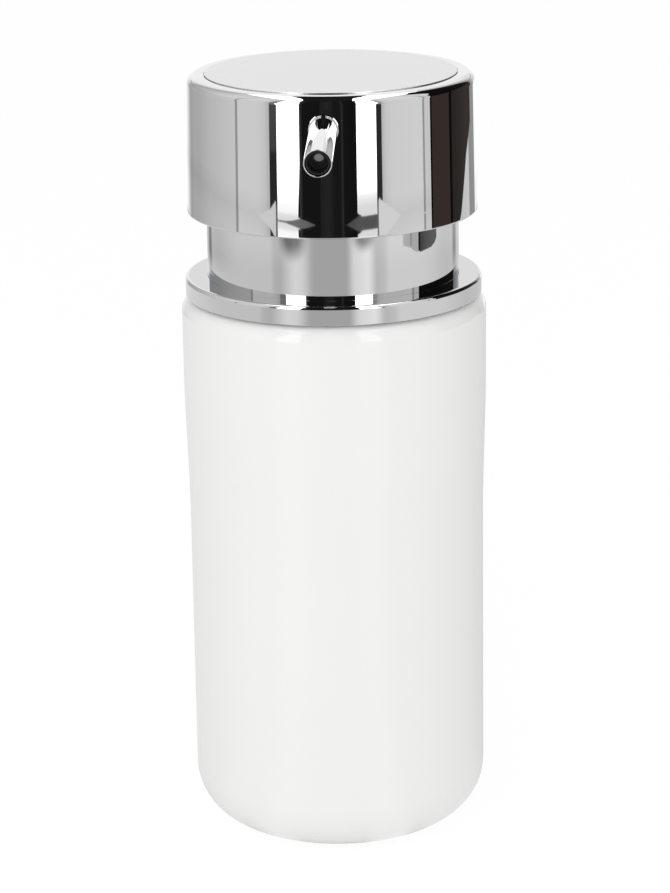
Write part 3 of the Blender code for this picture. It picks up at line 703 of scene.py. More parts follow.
turns = np.linspace(0, SPRING_TURNS, SPRING_ROWS)
turns = np.concatenate([turns[:1], turns, turns[-1:]])
winding = 2 * math.pi * turns
coil = np.stack([SPRING_R * np.cos(winding), SPRING_R * np.sin(winding), wound(turns)], 1)
coil[0] = coil[1] + (coil[1] - coil[2]) * WIRE_TIP
coil[-1] = coil[-2] + (coil[-2] - coil[-3]) * WIRE_TIP
wire = np.full(len(turns), WIRE_R)
wire[0] = wire[-1] = 0.0
spring = swept("wound_spring", coil, wire, WIRE_AROUND)
fit(spring, "pump_body", "spring_steel", steel("spring_steel", (0.62, 0.61, 0.59), 0.20), "return_spring")
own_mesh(spring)


# Stem guide
# A white moulding snapped over the housing's flange. Its plug stops the stem at the top of its
# travel, and its tower keeps the stem upright.
guide_low, guide_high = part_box("stem_guide")
stem_low, stem_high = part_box("stem")
STEM_WALL = 0.0015
STEM_STOP_PROUD = 0.0011
STEM_STOP_LENGTH = 0.0114
GUIDE_WALL = 0.0034
GUIDE_CAP = 0.0030
TOWER_FILLET = 0.0008
RUN = 0.0001

stem_r = stem_high.x - STEM_STOP_PROUD
stem_hole_r = stem_r + RUN
tower_r = stem_hole_r + GUIDE_WALL
guide_cap = housing_high.z + SEAT
guide_corners = [
    (stem_hole_r, guide_low.z, EDGE),
    (housing_r - HOUSING_WALL - CLOSE, guide_low.z, EDGE),
    (housing_r - HOUSING_WALL - CLOSE, guide_cap),
    (housing_r + CLOSE, guide_cap),
    (housing_r + CLOSE, flange_z + HOUSING_FLANGE + SEAT),
    (guide_high.x, flange_z + HOUSING_FLANGE + SEAT, EDGE),
    (guide_high.x, guide_cap + GUIDE_CAP, EDGE),
    (tower_r, guide_cap + GUIDE_CAP, TOWER_FILLET),
    (tower_r, guide_high.z, EDGE),
    (stem_hole_r, guide_high.z, EDGE),
]
guide = turned("moulded_guide", guide_corners, AROUND // 2)
fit(guide, "pump_body", "white_plastic", white, "stem_guide")


# Stem, piston seal and retainer
# The stem is a hollow plastic rod with a thick stop and the seat of the outlet ball. The two-lipped
# seal slides on its foot, and the retainer's spigot, pressed into the bore, keeps it there.
seal_low, seal_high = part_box("piston_seal")
retainer_low, retainer_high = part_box("piston_retainer")
PISTON_LIP = 0.0016
PISTON_WAIST = 0.0013
RETAINER_FOOT = 0.0016
RETAINER_FOOT_PROUD = 0.0015
RETAINER_WALL = 0.0008

stem_bore_r = stem_r - STEM_WALL
outlet_low, outlet_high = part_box("outlet_ball")
outlet_apex = (outlet_low.z + outlet_high.z) / 2 - ball_r * math.sqrt(2)
stop_top = guide_low.z - SEAT
stem_corners = [
    (stem_bore_r, stem_low.z),
    (stem_r, stem_low.z, EDGE),
    (stem_r, stop_top - STEM_STOP_LENGTH),
    (stem_high.x, stop_top - STEM_STOP_LENGTH, EDGE),
    (stem_high.x, stop_top, EDGE),
    (stem_r, stop_top),
    (stem_r, stem_high.z, EDGE),
    (ball_r + SEAT, stem_high.z, EDGE),
    (ball_r + SEAT, outlet_apex + ball_r + SEAT),
    (BALL_SEAT_R, outlet_apex + BALL_SEAT_R),
    (BALL_SEAT_R, outlet_apex + BALL_SEAT_R - STEM_WALL),
    (stem_bore_r, outlet_apex + BALL_SEAT_R - 2 * STEM_WALL),
]
stem = turned("hollow_stem", stem_corners, AROUND // 2)
fit(stem, "piston_body", "white_plastic", white, "stem")

waist_r = seal_high.x - PISTON_WAIST
seal_foot = seal_low.z + RETAINER_FOOT / 2
seal_corners = [
    (stem_hole_r, seal_foot),
    (waist_r, seal_foot, EDGE),
    (seal_high.x, seal_low.z, GASKET_EDGE),
    (seal_high.x, seal_foot + PISTON_LIP, GASKET_EDGE),
    (waist_r, seal_foot + 2 * PISTON_LIP, EDGE),
    (waist_r, seal_high.z - 2 * PISTON_LIP, EDGE),
    (seal_high.x, seal_high.z - PISTON_LIP, GASKET_EDGE),
    (seal_high.x, seal_high.z, GASKET_EDGE),
    (stem_hole_r, seal_high.z),
]
seal = turned("lipped_seal", seal_corners, AROUND // 2)
fit(seal, "piston_body", "soft_seal", seal_rubber, "piston_seal")

spigot_r = stem_bore_r - RUN
foot_top = retainer_low.z + RETAINER_FOOT
retainer_corners = [
    (spigot_r - RETAINER_WALL, retainer_low.z, EDGE),
    (stem_r + RETAINER_FOOT_PROUD, retainer_low.z, EDGE),
    (stem_r + RETAINER_FOOT_PROUD, foot_top, EDGE),
    (spigot_r, foot_top),
    (spigot_r, retainer_high.z, EDGE),
    (spigot_r - RETAINER_WALL, retainer_high.z, EDGE),
]
retainer = turned("pressed_retainer", retainer_corners, AROUND // 4)
fit(retainer, "piston_body", "white_plastic", white, "piston_retainer")


# Actuator core
# One moulding clipped into the head: the hub on the stem, the hollow arm to the spout and three
# fins. Its solid has the right shape and stays, with the plastic's finish.
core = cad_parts["actuator_core"]
core.data.materials.clear()
core.data.materials.append(white)


# Spout, nozzle liner and soap tube
# The spout is a thin chromed brass tube through the head's wall. In its mouth sits a black liner
# with a small hole in its floor, and behind the hole ends the pale tube that brings the soap.
spout_low, spout_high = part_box("spout_tube")
liner_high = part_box("nozzle_liner")[1]
SPOUT_SLOPE = math.radians(6)
SPOUT_WALL = 0.00026
SPOUT_EDGE = 0.00012
SPOUT_INSET = 0.0062
SHOULDER_PROUD = 0.00024
SHOULDER_LENGTH = 0.0008
SHOULDER_CREST = 0.6 * SHOULDER_PROUD
SHOULDER_FOOT = 0.3 * SHOULDER_PROUD
LINER_WALL = 0.0004
LINER_RECESS = 0.0031
LINER_WEB = 0.0020
LINER_LENGTH = 0.0100
LINER_BACK = 0.00025
SOAP_TUBE_WALL = 0.00056
SOAP_TUBE_LID = 0.0006
SOAP_TUBE_BACK = 0.0030
SPOUT_AROUND = 96

spout_r = spout_high.x - SHOULDER_PROUD
rise, run = math.sin(SPOUT_SLOPE), math.cos(SPOUT_SLOPE)
spout_tip = np.array([0.0, spout_low.y + spout_r * rise, spout_low.z + spout_r * run])
spout_length = (spout_high.y - spout_r * rise - spout_tip[1]) / run


def drooping(name, corners, closed=True):
    """Turn corners of (radius, distance behind the spout's rim, fillet) and lay them along the spout.

    The turned grid's X stays, its Y points up and square to the spout, and its Z runs inwards.
    """
    grid = spun(outline(corners, closed), SPOUT_AROUND)
    across, upright, inward = np.moveaxis(grid, -1, 0)
    along_y = inward * run - upright * rise
    along_z = inward * rise + upright * run
    return skin(name, np.stack([across, along_y, along_z], axis=-1) + spout_tip, closed)


def black_plastic():
    """Black moulded plastic, satin, with fine grain and a little grey bloom."""
    material, shade, place = start_material("black_plastic")
    bloom = noise(shade, place, 900.0, 3.0)
    sockets = {
        "Base Color": bloom.mix((0.008, 0.008, 0.008, 1.0), (0.014, 0.014, 0.014, 1.0)),
        "Roughness": 0.45 + bloom * 0.12,
        "Specular IOR Level": 0.25,
    }
    return end_material(material, shade, sockets, (noise(shade, place, 5200.0), 0.3, 0.00002))


spout_root = spout_length - SPOUT_INSET
shoulder_r = spout_r + SHOULDER_PROUD
shoulder_back = spout_root + SHOULDER_LENGTH / 2
shoulder_front = spout_root - SHOULDER_LENGTH
spout_corners = [
    (spout_r - SPOUT_WALL, spout_length),
    (spout_r, spout_length, SPOUT_EDGE),
    (spout_r, shoulder_back),
    (shoulder_r, shoulder_back),
    (shoulder_r, shoulder_front, SHOULDER_CREST),
    (spout_r, shoulder_front, SHOULDER_FOOT),
    (spout_r, 0, SPOUT_EDGE),
    (spout_r - SPOUT_WALL, 0, SPOUT_EDGE),
]
spout = drooping("chrome_spout", spout_corners)
fit(spout, "head_body", "bright_chrome", bright_chrome, "spout_tube")

liner_r = liner_high.x
soap_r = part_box("soap_tube")[1].x
soap_bore_r = soap_r - SOAP_TUBE_WALL
liner_floor = LINER_BACK + LINER_RECESS
liner_corners = [
    (soap_r + CLOSE, LINER_BACK + LINER_LENGTH),
    (liner_r, LINER_BACK + LINER_LENGTH),
    (liner_r, LINER_BACK, SPOUT_EDGE),
    (liner_r - LINER_WALL, LINER_BACK, SPOUT_EDGE),
    (liner_r - LINER_WALL, liner_floor, EDGE),
    (soap_bore_r, liner_floor, SPOUT_EDGE),
    (soap_bore_r, liner_floor + LINER_WEB),
    (soap_r + CLOSE, liner_floor + LINER_WEB),
]
liner = drooping("black_liner", liner_corners)
fit(liner, "head_body", "black_plastic", black_plastic(), "nozzle_liner")

soap_front = liner_floor + LINER_WEB + SEAT
soap_back = spout_length + SOAP_TUBE_BACK
soap_corners = [
    (0, soap_front + SOAP_TUBE_LID),
    (soap_bore_r, soap_front + SOAP_TUBE_LID, EDGE),
    (soap_bore_r, soap_back),
    (soap_r, soap_back),
    (soap_r, soap_front, EDGE),
    (0, soap_front),
]
soap_tube = drooping("pale_soap_tube", soap_corners, closed=False)
fit(soap_tube, "head_body", "clear_plastic", milky, "soap_tube")


# Head
# A deep-drawn drum, open below and plated like the collar, with a turned recess in its top. The
# wall narrows a little upwards, and the spout passes through a round hole in it.
head_low, head_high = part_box("head_shell")
disc_low, disc_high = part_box("top_disc")
HEAD_WALL = 0.0012
HEAD_DRAFT = 0.0005
HEAD_FILLET = 0.0022
HEAD_ROOF = 0.0010
HOLE_GAP = 0.0001
HOLE_FRONT = 0.0125
HOLE_BACK = 0.0020

head_r = head_high.x
head_top_r = head_r - HEAD_DRAFT
recess = disc_low.z - CLOSE
ceiling = recess - HEAD_ROOF
draft_at_ceiling = HEAD_DRAFT * (ceiling - head_low.z) / (head_high.z - head_low.z)
head_corners = [
    (0, recess),
    (disc_high.x + CLOSE, recess),
    (disc_high.x + CLOSE, head_high.z, CLOSE / 2),
    (head_top_r, head_high.z, HEAD_FILLET),
    (head_r, head_low.z, HEAD_WALL / 4),
    (head_r - HEAD_WALL, head_low.z, HEAD_WALL / 4),
    (head_r - HEAD_WALL - draft_at_ceiling, ceiling, HEAD_FILLET - HEAD_WALL),
    (0, ceiling),
]
head = turned("chrome_head", head_corners, 2 * AROUND, closed=False)
# The cutter is a rod round the spout that reaches through the wall, but not to its far side.
hole_corners = [
    (0, spout_length - HOLE_FRONT),
    (spout_r + HOLE_GAP, spout_length - HOLE_FRONT),
    (spout_r + HOLE_GAP, spout_length - HOLE_BACK),
    (0, spout_length - HOLE_BACK),
]
hole_cutter = drooping("hole_cutter", hole_corners, closed=False)
hole = head.modifiers.new("spout_hole", "BOOLEAN")
hole.operation = "DIFFERENCE"
hole.object = hole_cutter
bpy.context.view_layer.update()
cut_head = bpy.data.meshes.new_from_object(head.evaluated_get(bpy.context.evaluated_depsgraph_get()))
head.modifiers.clear()
head.data = cut_head
bpy.data.objects.remove(hole_cutter)
head.data.materials.clear()
head.data.set_sharp_from_angle(angle=SHARP)
fit(head, "head_body", "bright_chrome", bright_chrome, "head_shell")


# Top disc
# A satin-finished plated disc glued into the recess of the head. It stands a fifth of a millimetre
# proud, and a fine seam shows round it.
DISC_EDGE = 0.0001

satin_chrome = chrome("satin_chrome", (0.66, 0.66, 0.66), 0.24, 0.5)
disc_corners = [
    (0, disc_low.z),
    (disc_high.x, disc_low.z, DISC_EDGE),
    (disc_high.x, disc_high.z, DISC_EDGE),
    (0, disc_high.z),
]
disc = turned("satin_disc", disc_corners, closed=False)
fit(disc, "head_body", "satin_chrome", satin_chrome, "top_disc")


# Floor and backdrop
# A plain white ground. The camera sees it at full white with the dispenser's soft shadow on it,
# and it throws plain light back on the glaze.
FLOOR_RINGS = (0.0005, 0.1, 0.3, 1.0, 6.0)
FLOOR_DROP = 0.0002
FLOOR_SEEN = (0.88, 0.15)
FLOOR_BOUNCE = (0.60, 0.28)
SKY_LEVEL = 0.72
SKY_MIRRORED = 1.15


def stage_piece(name, grid, material):
    """A piece of the studio over a grid whose rows and columns stay open."""
    rows, columns = grid.shape[:2]
    index = np.arange(rows * columns).reshape(rows, columns)
    quads = np.stack([index[:-1, :-1], index[:-1, 1:], index[1:, 1:], index[1:, :-1]], axis=-1)
    mesh = bpy.data.meshes.new(name)
    mesh.from_pydata(grid.reshape(-1, 3), [], quads.reshape(-1, 4).tolist())
    mesh.materials.append(material)
    piece = bpy.data.objects.new(name, mesh)
    bpy.context.scene.collection.objects.link(piece)
    return piece


def light_and_shade(shade, glow, grey):
    """Even light of one strength, with a diffuse share that takes the shadows."""
    light = shade.node("Emission", inputs={"Color": (1.0, 1.0, 1.0, 1.0), "Strength": glow})
    diffuse = shade.node("BsdfDiffuse", inputs={"Color": (grey, grey, grey, 1.0)})
    return shade.node("AddShader", inputs={0: light, 1: diffuse})


def floor_paint():
    """Full white with a light shadow for the camera, and softer light for the pieces."""
    material, shade, _ = start_material("floor_paint")
    seen = shade.node("LightPath", output="Is Camera Ray")
    bounce = light_and_shade(shade, *FLOOR_BOUNCE)
    view = light_and_shade(shade, *FLOOR_SEEN)
    both = shade.node("MixShader", inputs={0: seen, 1: bounce, 2: view})
    shade.node("OutputMaterial", inputs={"Surface": both})
    return material


def rings(radii, azimuths):
    """Grid on the floor's plane: radius along the rows, azimuth from the spout along the columns."""
    azimuth = np.radians(azimuths)
    radius = np.array(radii)
    return np.stack(
        [
            np.outer(radius, np.sin(azimuth)),
            -np.outer(radius, np.cos(azimuth)),
            np.zeros((len(radius), len(azimuth))),
        ],
        axis=-1,
    )


whole_turn = np.linspace(-180, 180, 121)
floor_grid = rings(FLOOR_RINGS, whole_turn) - np.array((0, 0, FLOOR_DROP))
floor = stage_piece("floor", floor_grid, floor_paint())
floor.visible_glossy = False

world = bpy.data.worlds.new("studio")
world.use_nodes = True
world.node_tree.nodes.clear()
bpy.context.scene.world = world
air = Shade(world.node_tree)
ray_kinds = air.node("LightPath").socket.node.outputs
camera_ray = Shade(air.tree, ray_kinds["Is Camera Ray"])
mirror_ray = Shade(air.tree, ray_kinds["Is Glossy Ray"])
clear_ray = Shade(air.tree, ray_kinds["Is Transmission Ray"])
white_ray = air.math("ADD", camera_ray, clear_ray, clamp=True)
level = SKY_LEVEL + white_ray * (1.0 - SKY_LEVEL) + mirror_ray * (SKY_MIRRORED - SKY_LEVEL)
sky = air.node("Background", inputs={"Color": (1.0, 1.0, 1.0, 1.0), "Strength": level})
air.node("OutputWorld", inputs={"Surface": sky})


# Reflectors
# What the chrome shows: a wall of glowing panels round the table, black behind the camera with a
# strip light on each side, grey beside them and dark at the right. The flares, the patches and the
# light and dark feet of the panels are painted light and shade. Only mirror rays see them.
WALL_R = 0.826
DARK_WALL_R = 0.63
BLUE_WALL_R = WALL_R - 0.01
FAR_WALL_R = 3.0
WALL_TOP = 1.2
CEILING_Z = 1.15
PANEL_STEP = 3.0
LAYER = 0.0005
STRIP_TONE = 2.8

# How a panel's tone changes upwards: pairs of a height and the share of the tone there.
EVEN = ((0.0, 1.0), (WALL_TOP, 1.0))
RISE_GREY = (
    (0.0, 0.91), (0.01, 1.0), (0.18, 1.05), (0.32, 1.05), (0.324, 0.72), (0.344, 0.72), (0.35, 1.1),
    (0.46, 1.2), (WALL_TOP, 1.25),
)
RISE_EDGE = ((0.0, 0.91), (0.01, 1.0), (0.18, 1.05), (WALL_TOP, 1.15))
RISE_WHITE = (
    (0.0, 0.90), (0.01, 1.0), (0.32, 1.0), (0.324, 0.88), (0.344, 0.88), (0.35, 1.0), (0.46, 1.05),
    (WALL_TOP, 1.12),
)
STRIP_FOOT_LEFT = ((0.0, 0.36), (0.003, 0.37), (0.0048, 0.47), (0.0114, 0.52), (0.018, 1.0))
STRIP_FOOT_RIGHT = ((0.0, 0.35), (0.008, 0.355), (0.0105, 0.40), (0.0133, 0.46), (0.02, 1.0))
STRIP_TOP = ((WALL_TOP, 1.0),)
SPOUT_SHADE = ((0.348, 1.0), (0.35, 0.01), (0.44, 0.01), (0.442, 1.0), (WALL_TOP, 1.0))
RISE_RIGHT_GAP = (
    (0.0, 0.58), (0.056, 0.58), (0.08, 5.0), (0.2, 7.4), (0.35, 7.4), (0.5, 9.0), (0.7, 12.0),
    (WALL_TOP, 14.0),
)
RISE_LEFT_GAP = (
    (0.0, 0.36), (0.031, 0.36), (0.034, 0.85), (0.056, 1.05), (0.16, 2.5), (0.32, 3.0), (0.47, 3.3),
    (0.65, 4.1), (0.86, 6.0), (WALL_TOP, 8.5),
)
RISE_OLIVE = ((0.0, 1.0), (0.25, 1.0), (0.265, 0.25), (WALL_TOP, 0.25))
RISE_FAR = ((0.45, 1.0), (0.77, 1.0), (0.82, 0.86), (1.05, 0.86))

# A panel has columns of azimuth in degrees and tone, and where its outline isn't straight also
# the lowest and the highest point of each column.
GREY_PANELS = {
    "left_edge": (
        RISE_EDGE,
        [
            (-170, 1.05), (-160, 0.98), (-156, 0.92), (-152, 0.78), (-148, 0.60), (-144.5, 0.45),
            (-137, 0.47),
        ],
    ),
    "left_grey": (RISE_GREY, [(-137, 0.51), (-126, 0.52), (-106, 0.65), (-84, 0.74), (-77.2, 0.76)]),
    "left_joint": (RISE_WHITE, [(-77.2, 0.40), (-74.8, 0.40)]),
    "left_white": (RISE_WHITE, [(-74.8, 0.83), (-56, 0.83), (-50, 0.76), (-45.9, 0.60)]),
    "left_gap": (RISE_LEFT_GAP, [(-45.9, 0.08), (-39.8, 0.08)]),
    "left_strip": (STRIP_FOOT_LEFT + STRIP_TOP, [(-39.8, STRIP_TONE), (-26.5, STRIP_TONE)]),
    "left_inner": (
        STRIP_FOOT_LEFT + SPOUT_SHADE,
        [
            (-26.5, STRIP_TONE, 0, 1.02), (-24.0, STRIP_TONE, 0, 0.76),
            (-22.5, STRIP_TONE, 0, 0.55), (-21.9, STRIP_TONE, 0, 0.36),
        ],
    ),
    "front_left": (EVEN, [(-21.9, 0.06), (-20.8, 0.04), (-19.4, 0.010), (-6, 0.010)]),
    "front_middle": (EVEN, [(-6, 0.018), (0, 0.024), (4, 0.016)]),
    "front_right": (EVEN, [(4, 0.012), (9.6, 0.012), (11, 0.034), (12.2, 0.010), (22.0, 0.008)]),
    "right_inner": (
        STRIP_FOOT_RIGHT + SPOUT_SHADE,
        [
            (22.0, STRIP_TONE, 0, 0.46), (23.0, STRIP_TONE, 0, 0.65), (25.5, STRIP_TONE, 0, 1.0),
            (28.0, STRIP_TONE),
        ],
    ),
    "front_backing": (EVEN, [(-29, 0.010), (29, 0.010)]),
    "right_strip": (STRIP_FOOT_RIGHT + STRIP_TOP, [(28.0, STRIP_TONE), (37.5, STRIP_TONE)]),
    "right_gap": (RISE_RIGHT_GAP, [(37.5, 0.045), (41.9, 0.06)]),
    "right_white": (RISE_WHITE, [(41.9, 0.60), (45, 0.77), (50, 0.84), (74, 0.875), (78.1, 0.85)]),
    "right_joint": (RISE_WHITE, [(78.1, 0.40), (80.0, 0.40)]),
    "right_edge": (RISE_WHITE, [(80.0, 0.79), (85.2, 0.77)]),
    "right_light": (EVEN, [(122, 0.72, 0, 0.06), (136, 0.76, 0, 0.06), (140, 0.74, 0, 0.06)]),
    "right_end": (EVEN, [(140, 0.35, 0, 0.1), (156, 0.35, 0, 0.1)]),
    "right_end_top": (
        EVEN,
        [
            (141, 0.03, 0.1), (144, 0.14, 0.1), (147.7, 0.42, 0.1), (152, 0.53, 0.1),
            (156, 0.78, 0.1), (170, 1.04, 0.1),
        ],
    ),
    "right_backing": (RISE_WHITE, [(85, 0.86), (100, 0.86)]),
    # The flares and the feet below are painted light and shade, for the mirrors alone.
    "left_foot_flare": (EVEN, [(-41.2, STRIP_TONE, 0.22, 0.30), (-39.8, STRIP_TONE, 0.12, 0.34)]),
    "right_foot_flare": (EVEN, [(37.5, STRIP_TONE, 0.12, 0.34), (39.2, STRIP_TONE, 0.22, 0.30)]),
    "left_foot_corner": (EVEN, [(-23.3, 0.01, 0.0027, 0.0040), (-21.8, 0.01, 0.0028, 0.030)]),
    "right_foot_corner": (EVEN, [(21.9, 0.01, 0.0033, 0.0052), (25.3, 0.01, 0.0034, 0.0037)]),
    "left_foot_light": (EVEN, [(-57, 0.80, 0, 0), (-46, 0.82, 0, 0.0045), (-41.2, 0.80, 0, 0.0092)]),
    "left_foot_edge": (EVEN, [(-41.2, 0.20, 0, 0.0092), (-39.8, 0.19, 0, 0.0045)]),
    "left_foot_dark": (
        EVEN,
        [
            (-39.8, 0.20, 0, 0.0004), (-33.5, 0.20, 0, 0.0005), (-27.7, 0.20, 0, 0.0013),
            (-21.9, 0.195, 0, 0.0024), (-17.0, 0.175, 0, 0.0017), (-9.7, 0.12, 0, 0),
        ],
    ),
    "right_foot_dark": (
        EVEN,
        [(13.3, 0.08, 0, 0), (22, 0.115, 0, 0.0033), (30, 0.11, 0, 0.0034), (37.6, 0.12, 0, 0.0034)],
    ),
    "right_foot_edge": (EVEN, [(37.6, 0.19, 0, 0.0070), (38.6, 0.26, 0, 0.0095)]),
    "right_foot_light": (
        EVEN,
        [(38.6, 0.84, 0, 0.0100), (39.3, 0.86, 0, 0.0108), (41, 0.88, 0, 0.0095), (57, 0.88, 0, 0)],
    ),
}
BROWN_PANELS = {"right_brown": (EVEN, [(87.0, 0.040, 0.02, 0.2), (107.4, 0.040, 0.02, 0.2)])}
# An inner wall at the right, with dark panels; its feet and its patch are painted shade.
DARK_PANELS = {
    "right_foot_shade": (
        EVEN,
        [
            (68, 0.60, 0.0042, 0.009), (76, 0.53, 0.0028, 0.009), (80, 0.54, 0.0012, 0.009),
            (85.2, 0.55, 0.0002, 0.009),
        ],
    ),
    "right_joint_foot": (EVEN, [(76.1, 0.24, 0.0035, 0.015), (78.3, 0.24, 0.0035, 0.015)]),
    "right_patch": (
        EVEN,
        [
            (87.0, 0.06, 0.0, 0.02), (92.0, 0.10, 0.0003, 0.02), (102.0, 0.14, 0.0010, 0.02),
            (107.0, 0.14, 0.0025, 0.02), (109.5, 0.13, 0.0045, 0.02),
        ],
    ),
    "right_black": (EVEN, [(85.2, 0.004, 0.0005, 0.42), (87.0, 0.004, 0.0005, 0.42)]),
    "right_top": (
        EVEN,
        [(87.0, 0.006, 0.2, 0.42), (94.0, 0.006, 0.2, 0.55), (98.0, 0.006, 0.2), (107.4, 0.006, 0.2)],
    ),
    "right_line": (EVEN, [(107.4, 0.004, 0.02), (110.5, 0.006, 0.02)]),
}
OLIVE_PANELS = {
    "right_dark": (
        RISE_OLIVE,
        [(110.5, 0.022, 0.010), (123.5, 0.029, 0.024), (134, 0.038, 0.046), (144, 0.036, 0.057)],
    ),
}
BLUE_PANELS = {
    "back_left": (EVEN, [(-157, 0.34, 0.322, 0.344), (-137, 0.34, 0.322, 0.344)]),
    "back_right": (
        EVEN,
        [(137, 0.28, 0.322, 0.344), (150, 0.28, 0.322, 0.344), (169, 0.60, 0.322, 0.344)],
    ),
}
FAR_PANELS = {"back_white": (RISE_FAR, [(160, 1.05, 0.45, 1.05), (200, 1.05, 0.45, 1.05)])}

# A ceiling sheet has its tone and rows of depth with its left and right edge there. The strips run
# on over the ceiling, a little further apart in front.
CEILING = {
    "ceiling_left": (0.80, [(-0.95, -1.10, -0.505), (1.00, -1.10, -0.505)]),
    "ceiling_left_strip": (
        STRIP_TONE,
        [
            (-0.95, -0.505, -0.440), (-0.73, -0.505, -0.375), (-0.53, -0.505, -0.295),
            (-0.28, -0.505, -0.238), (-0.05, -0.505, -0.212), (0.80, -0.450, -0.190),
        ],
    ),
    "ceiling_left_back": (0.60, [(0.80, -0.505, -0.190), (1.10, -0.505, -0.180)]),
    "ceiling_middle": (
        0.014,
        [
            (-0.95, -0.440, 0.420), (-0.73, -0.375, 0.335), (-0.53, -0.295, 0.272),
            (-0.28, -0.238, 0.210), (-0.05, -0.212, 0.165), (0.25, -0.203, 0.160),
            (0.60, -0.195, 0.100), (1.25, -0.170, 0.050),
        ],
    ),
    "ceiling_right_strip": (
        STRIP_TONE,
        [
            (-0.95, 0.420, 0.524), (-0.73, 0.335, 0.524), (-0.53, 0.272, 0.524),
            (-0.28, 0.210, 0.524), (-0.05, 0.165, 0.524), (0.25, 0.160, 0.524),
            (0.72, 0.100, 0.440),
        ],
    ),
    "ceiling_right_back": (0.95, [(0.45, 0.490, 0.700), (0.72, 0.440, 0.700), (1.00, 0.130, 0.700)]),
    "ceiling_right": (0.85, [(-0.95, 0.524, 1.10), (0.30, 0.524, 1.10)]),
    "ceiling_right_dark": (0.014, [(0.30, 0.700, 1.10), (1.00, 0.700, 1.10)]),
}


def panel_paint(name, tint):
    """Light of this tint and of the tone that each point of a panel carries."""
    material, shade, _ = start_material(name)
    tone = shade.node("Attribute", {"attribute_name": "tone"}, output="Fac")
    glow = shade.node("Emission", inputs={"Color": (*tint, 1.0), "Strength": tone})
    shade.node("OutputMaterial", inputs={"Surface": glow})
    return material


def mirror_only(piece):
    """Keep a studio piece out of every ray but those that a mirror sends."""
    piece.visible_camera = False
    piece.visible_diffuse = False
    piece.visible_shadow = False
    piece.visible_transmission = False


def reflector(name, grid, tone, paint):
    """A studio piece for the mirrors alone, with a tone at each of its points."""
    piece = stage_piece(name, grid, paint)
    attribute = piece.data.attributes.new("tone", "FLOAT", "POINT")
    attribute.data.foreach_set("value", tone.ravel())
    mirror_only(piece)


def panel(name, rise, columns, radius, paint):
    """Curved panel at (radius sin a, -radius cos a), its tone times the rise's share at each height."""
    missing = {2: (0.0, WALL_TOP), 3: (WALL_TOP,), 4: ()}
    columns = np.array([(*column, *missing[len(column)]) for column in columns])
    count = max(math.ceil((columns[-1, 0] - columns[0, 0]) / PANEL_STEP) + 1, 2)
    azimuths = np.union1d(np.linspace(columns[0, 0], columns[-1, 0], count), columns[:, 0])
    tone, low, high = (np.interp(azimuths, columns[:, 0], columns[:, part]) for part in (1, 2, 3))
    heights, shares = np.array(rise).T
    grid = rings(np.full(len(heights), radius), azimuths)
    grid[..., 2] = np.clip(heights[:, None], low, high)
    reflector(name, grid, tone * np.interp(grid[..., 2], heights, shares), paint)


grey_paint = panel_paint("grey_paint", (1.0, 1.0, 1.0))
for group, radius, paint in (
    (GREY_PANELS, WALL_R, grey_paint),
    (BROWN_PANELS, DARK_WALL_R, panel_paint("brown_paint", (1.25, 0.90, 0.78))),
    (DARK_PANELS, DARK_WALL_R, grey_paint),
    (OLIVE_PANELS, DARK_WALL_R, panel_paint("olive_paint", (1.28, 1.14, 1.0))),
    (BLUE_PANELS, BLUE_WALL_R, panel_paint("blue_paint", (0.97, 1.0, 1.06))),
    (FAR_PANELS, FAR_WALL_R, grey_paint),
):
    for name, (rise, columns) in group.items():
        # A foot lies a layer in front of the wall, and a backing a layer behind it.
        layers = ("backing" in name) - ("foot" in name)
        panel(name, rise, columns, radius + layers * LAYER, paint)

for name, (tone, rows) in CEILING.items():
    edges = [[(left, y, CEILING_Z), (right, y, CEILING_Z)] for y, left, right in rows]
    reflector(name, np.array(edges), np.full(2 * len(rows), tone), grey_paint)


# Table in the mirrors
# The chrome sees a glowing white board under the dispenser, and beyond the board a polished
# table top that doubles the feet of the panels. The board's tones are painted light and shade:
# the strip lights' soft gleams are painted highlights, and its darker middle, dips and dark lenses
# are painted shade. A band is a range of radii and a spread one of azimuths, over which a tone
# changes smoothly.
BOARD_R = 0.70
BOARD_RINGS = (0.0005, 0.3, 0.6, BOARD_R)
TABLE_RINGS = (BOARD_R, WALL_R + 0.2)
BOARD_CENTRE = 0.50
BOARD_LEFT = 0.73
BOARD_RIGHT = 0.84
BOARD_SPREAD = (12.0, 55.0)
RIM_BAND = (0.60, 0.66)
RIM_BRIGHT = 0.07
BEHIND_SPREAD = (85.0, 130.0)
BEHIND_DARK = 0.16
BEHIND_BRIGHT = 0.25
OUTER_BAND = (0.55, 0.62)
EDGE_LINE = 147.0
EDGE_SPREAD = (8.0, 2.5)
EDGE_DARK = 0.34
# Painted gleams and dips of painted shade before the strips: middle azimuth, half width outside
# and inside, strength.
GLEAMS = ((-28.0, 15.0, 2.0, 0.32), (27.5, 14.0, 5.0, 0.38))
DIPS = ((-48.0, 8.0, 2.0, 0.12), (46.0, 9.0, 2.0, 0.12))
# Dark lenses of painted shade at the board's rim: middle azimuth, half width, half depth. Their
# tone changes between these shares of the way from the middle to the edge.
LENSES = ((-33.0, 16.0, 0.055), (30.0, 13.0, 0.034))
LENS_RADIUS = 0.672
LENS_FADE = (1.0, 0.2)
LENS_DEPTH = 0.66
LEAST_TONE = 0.23


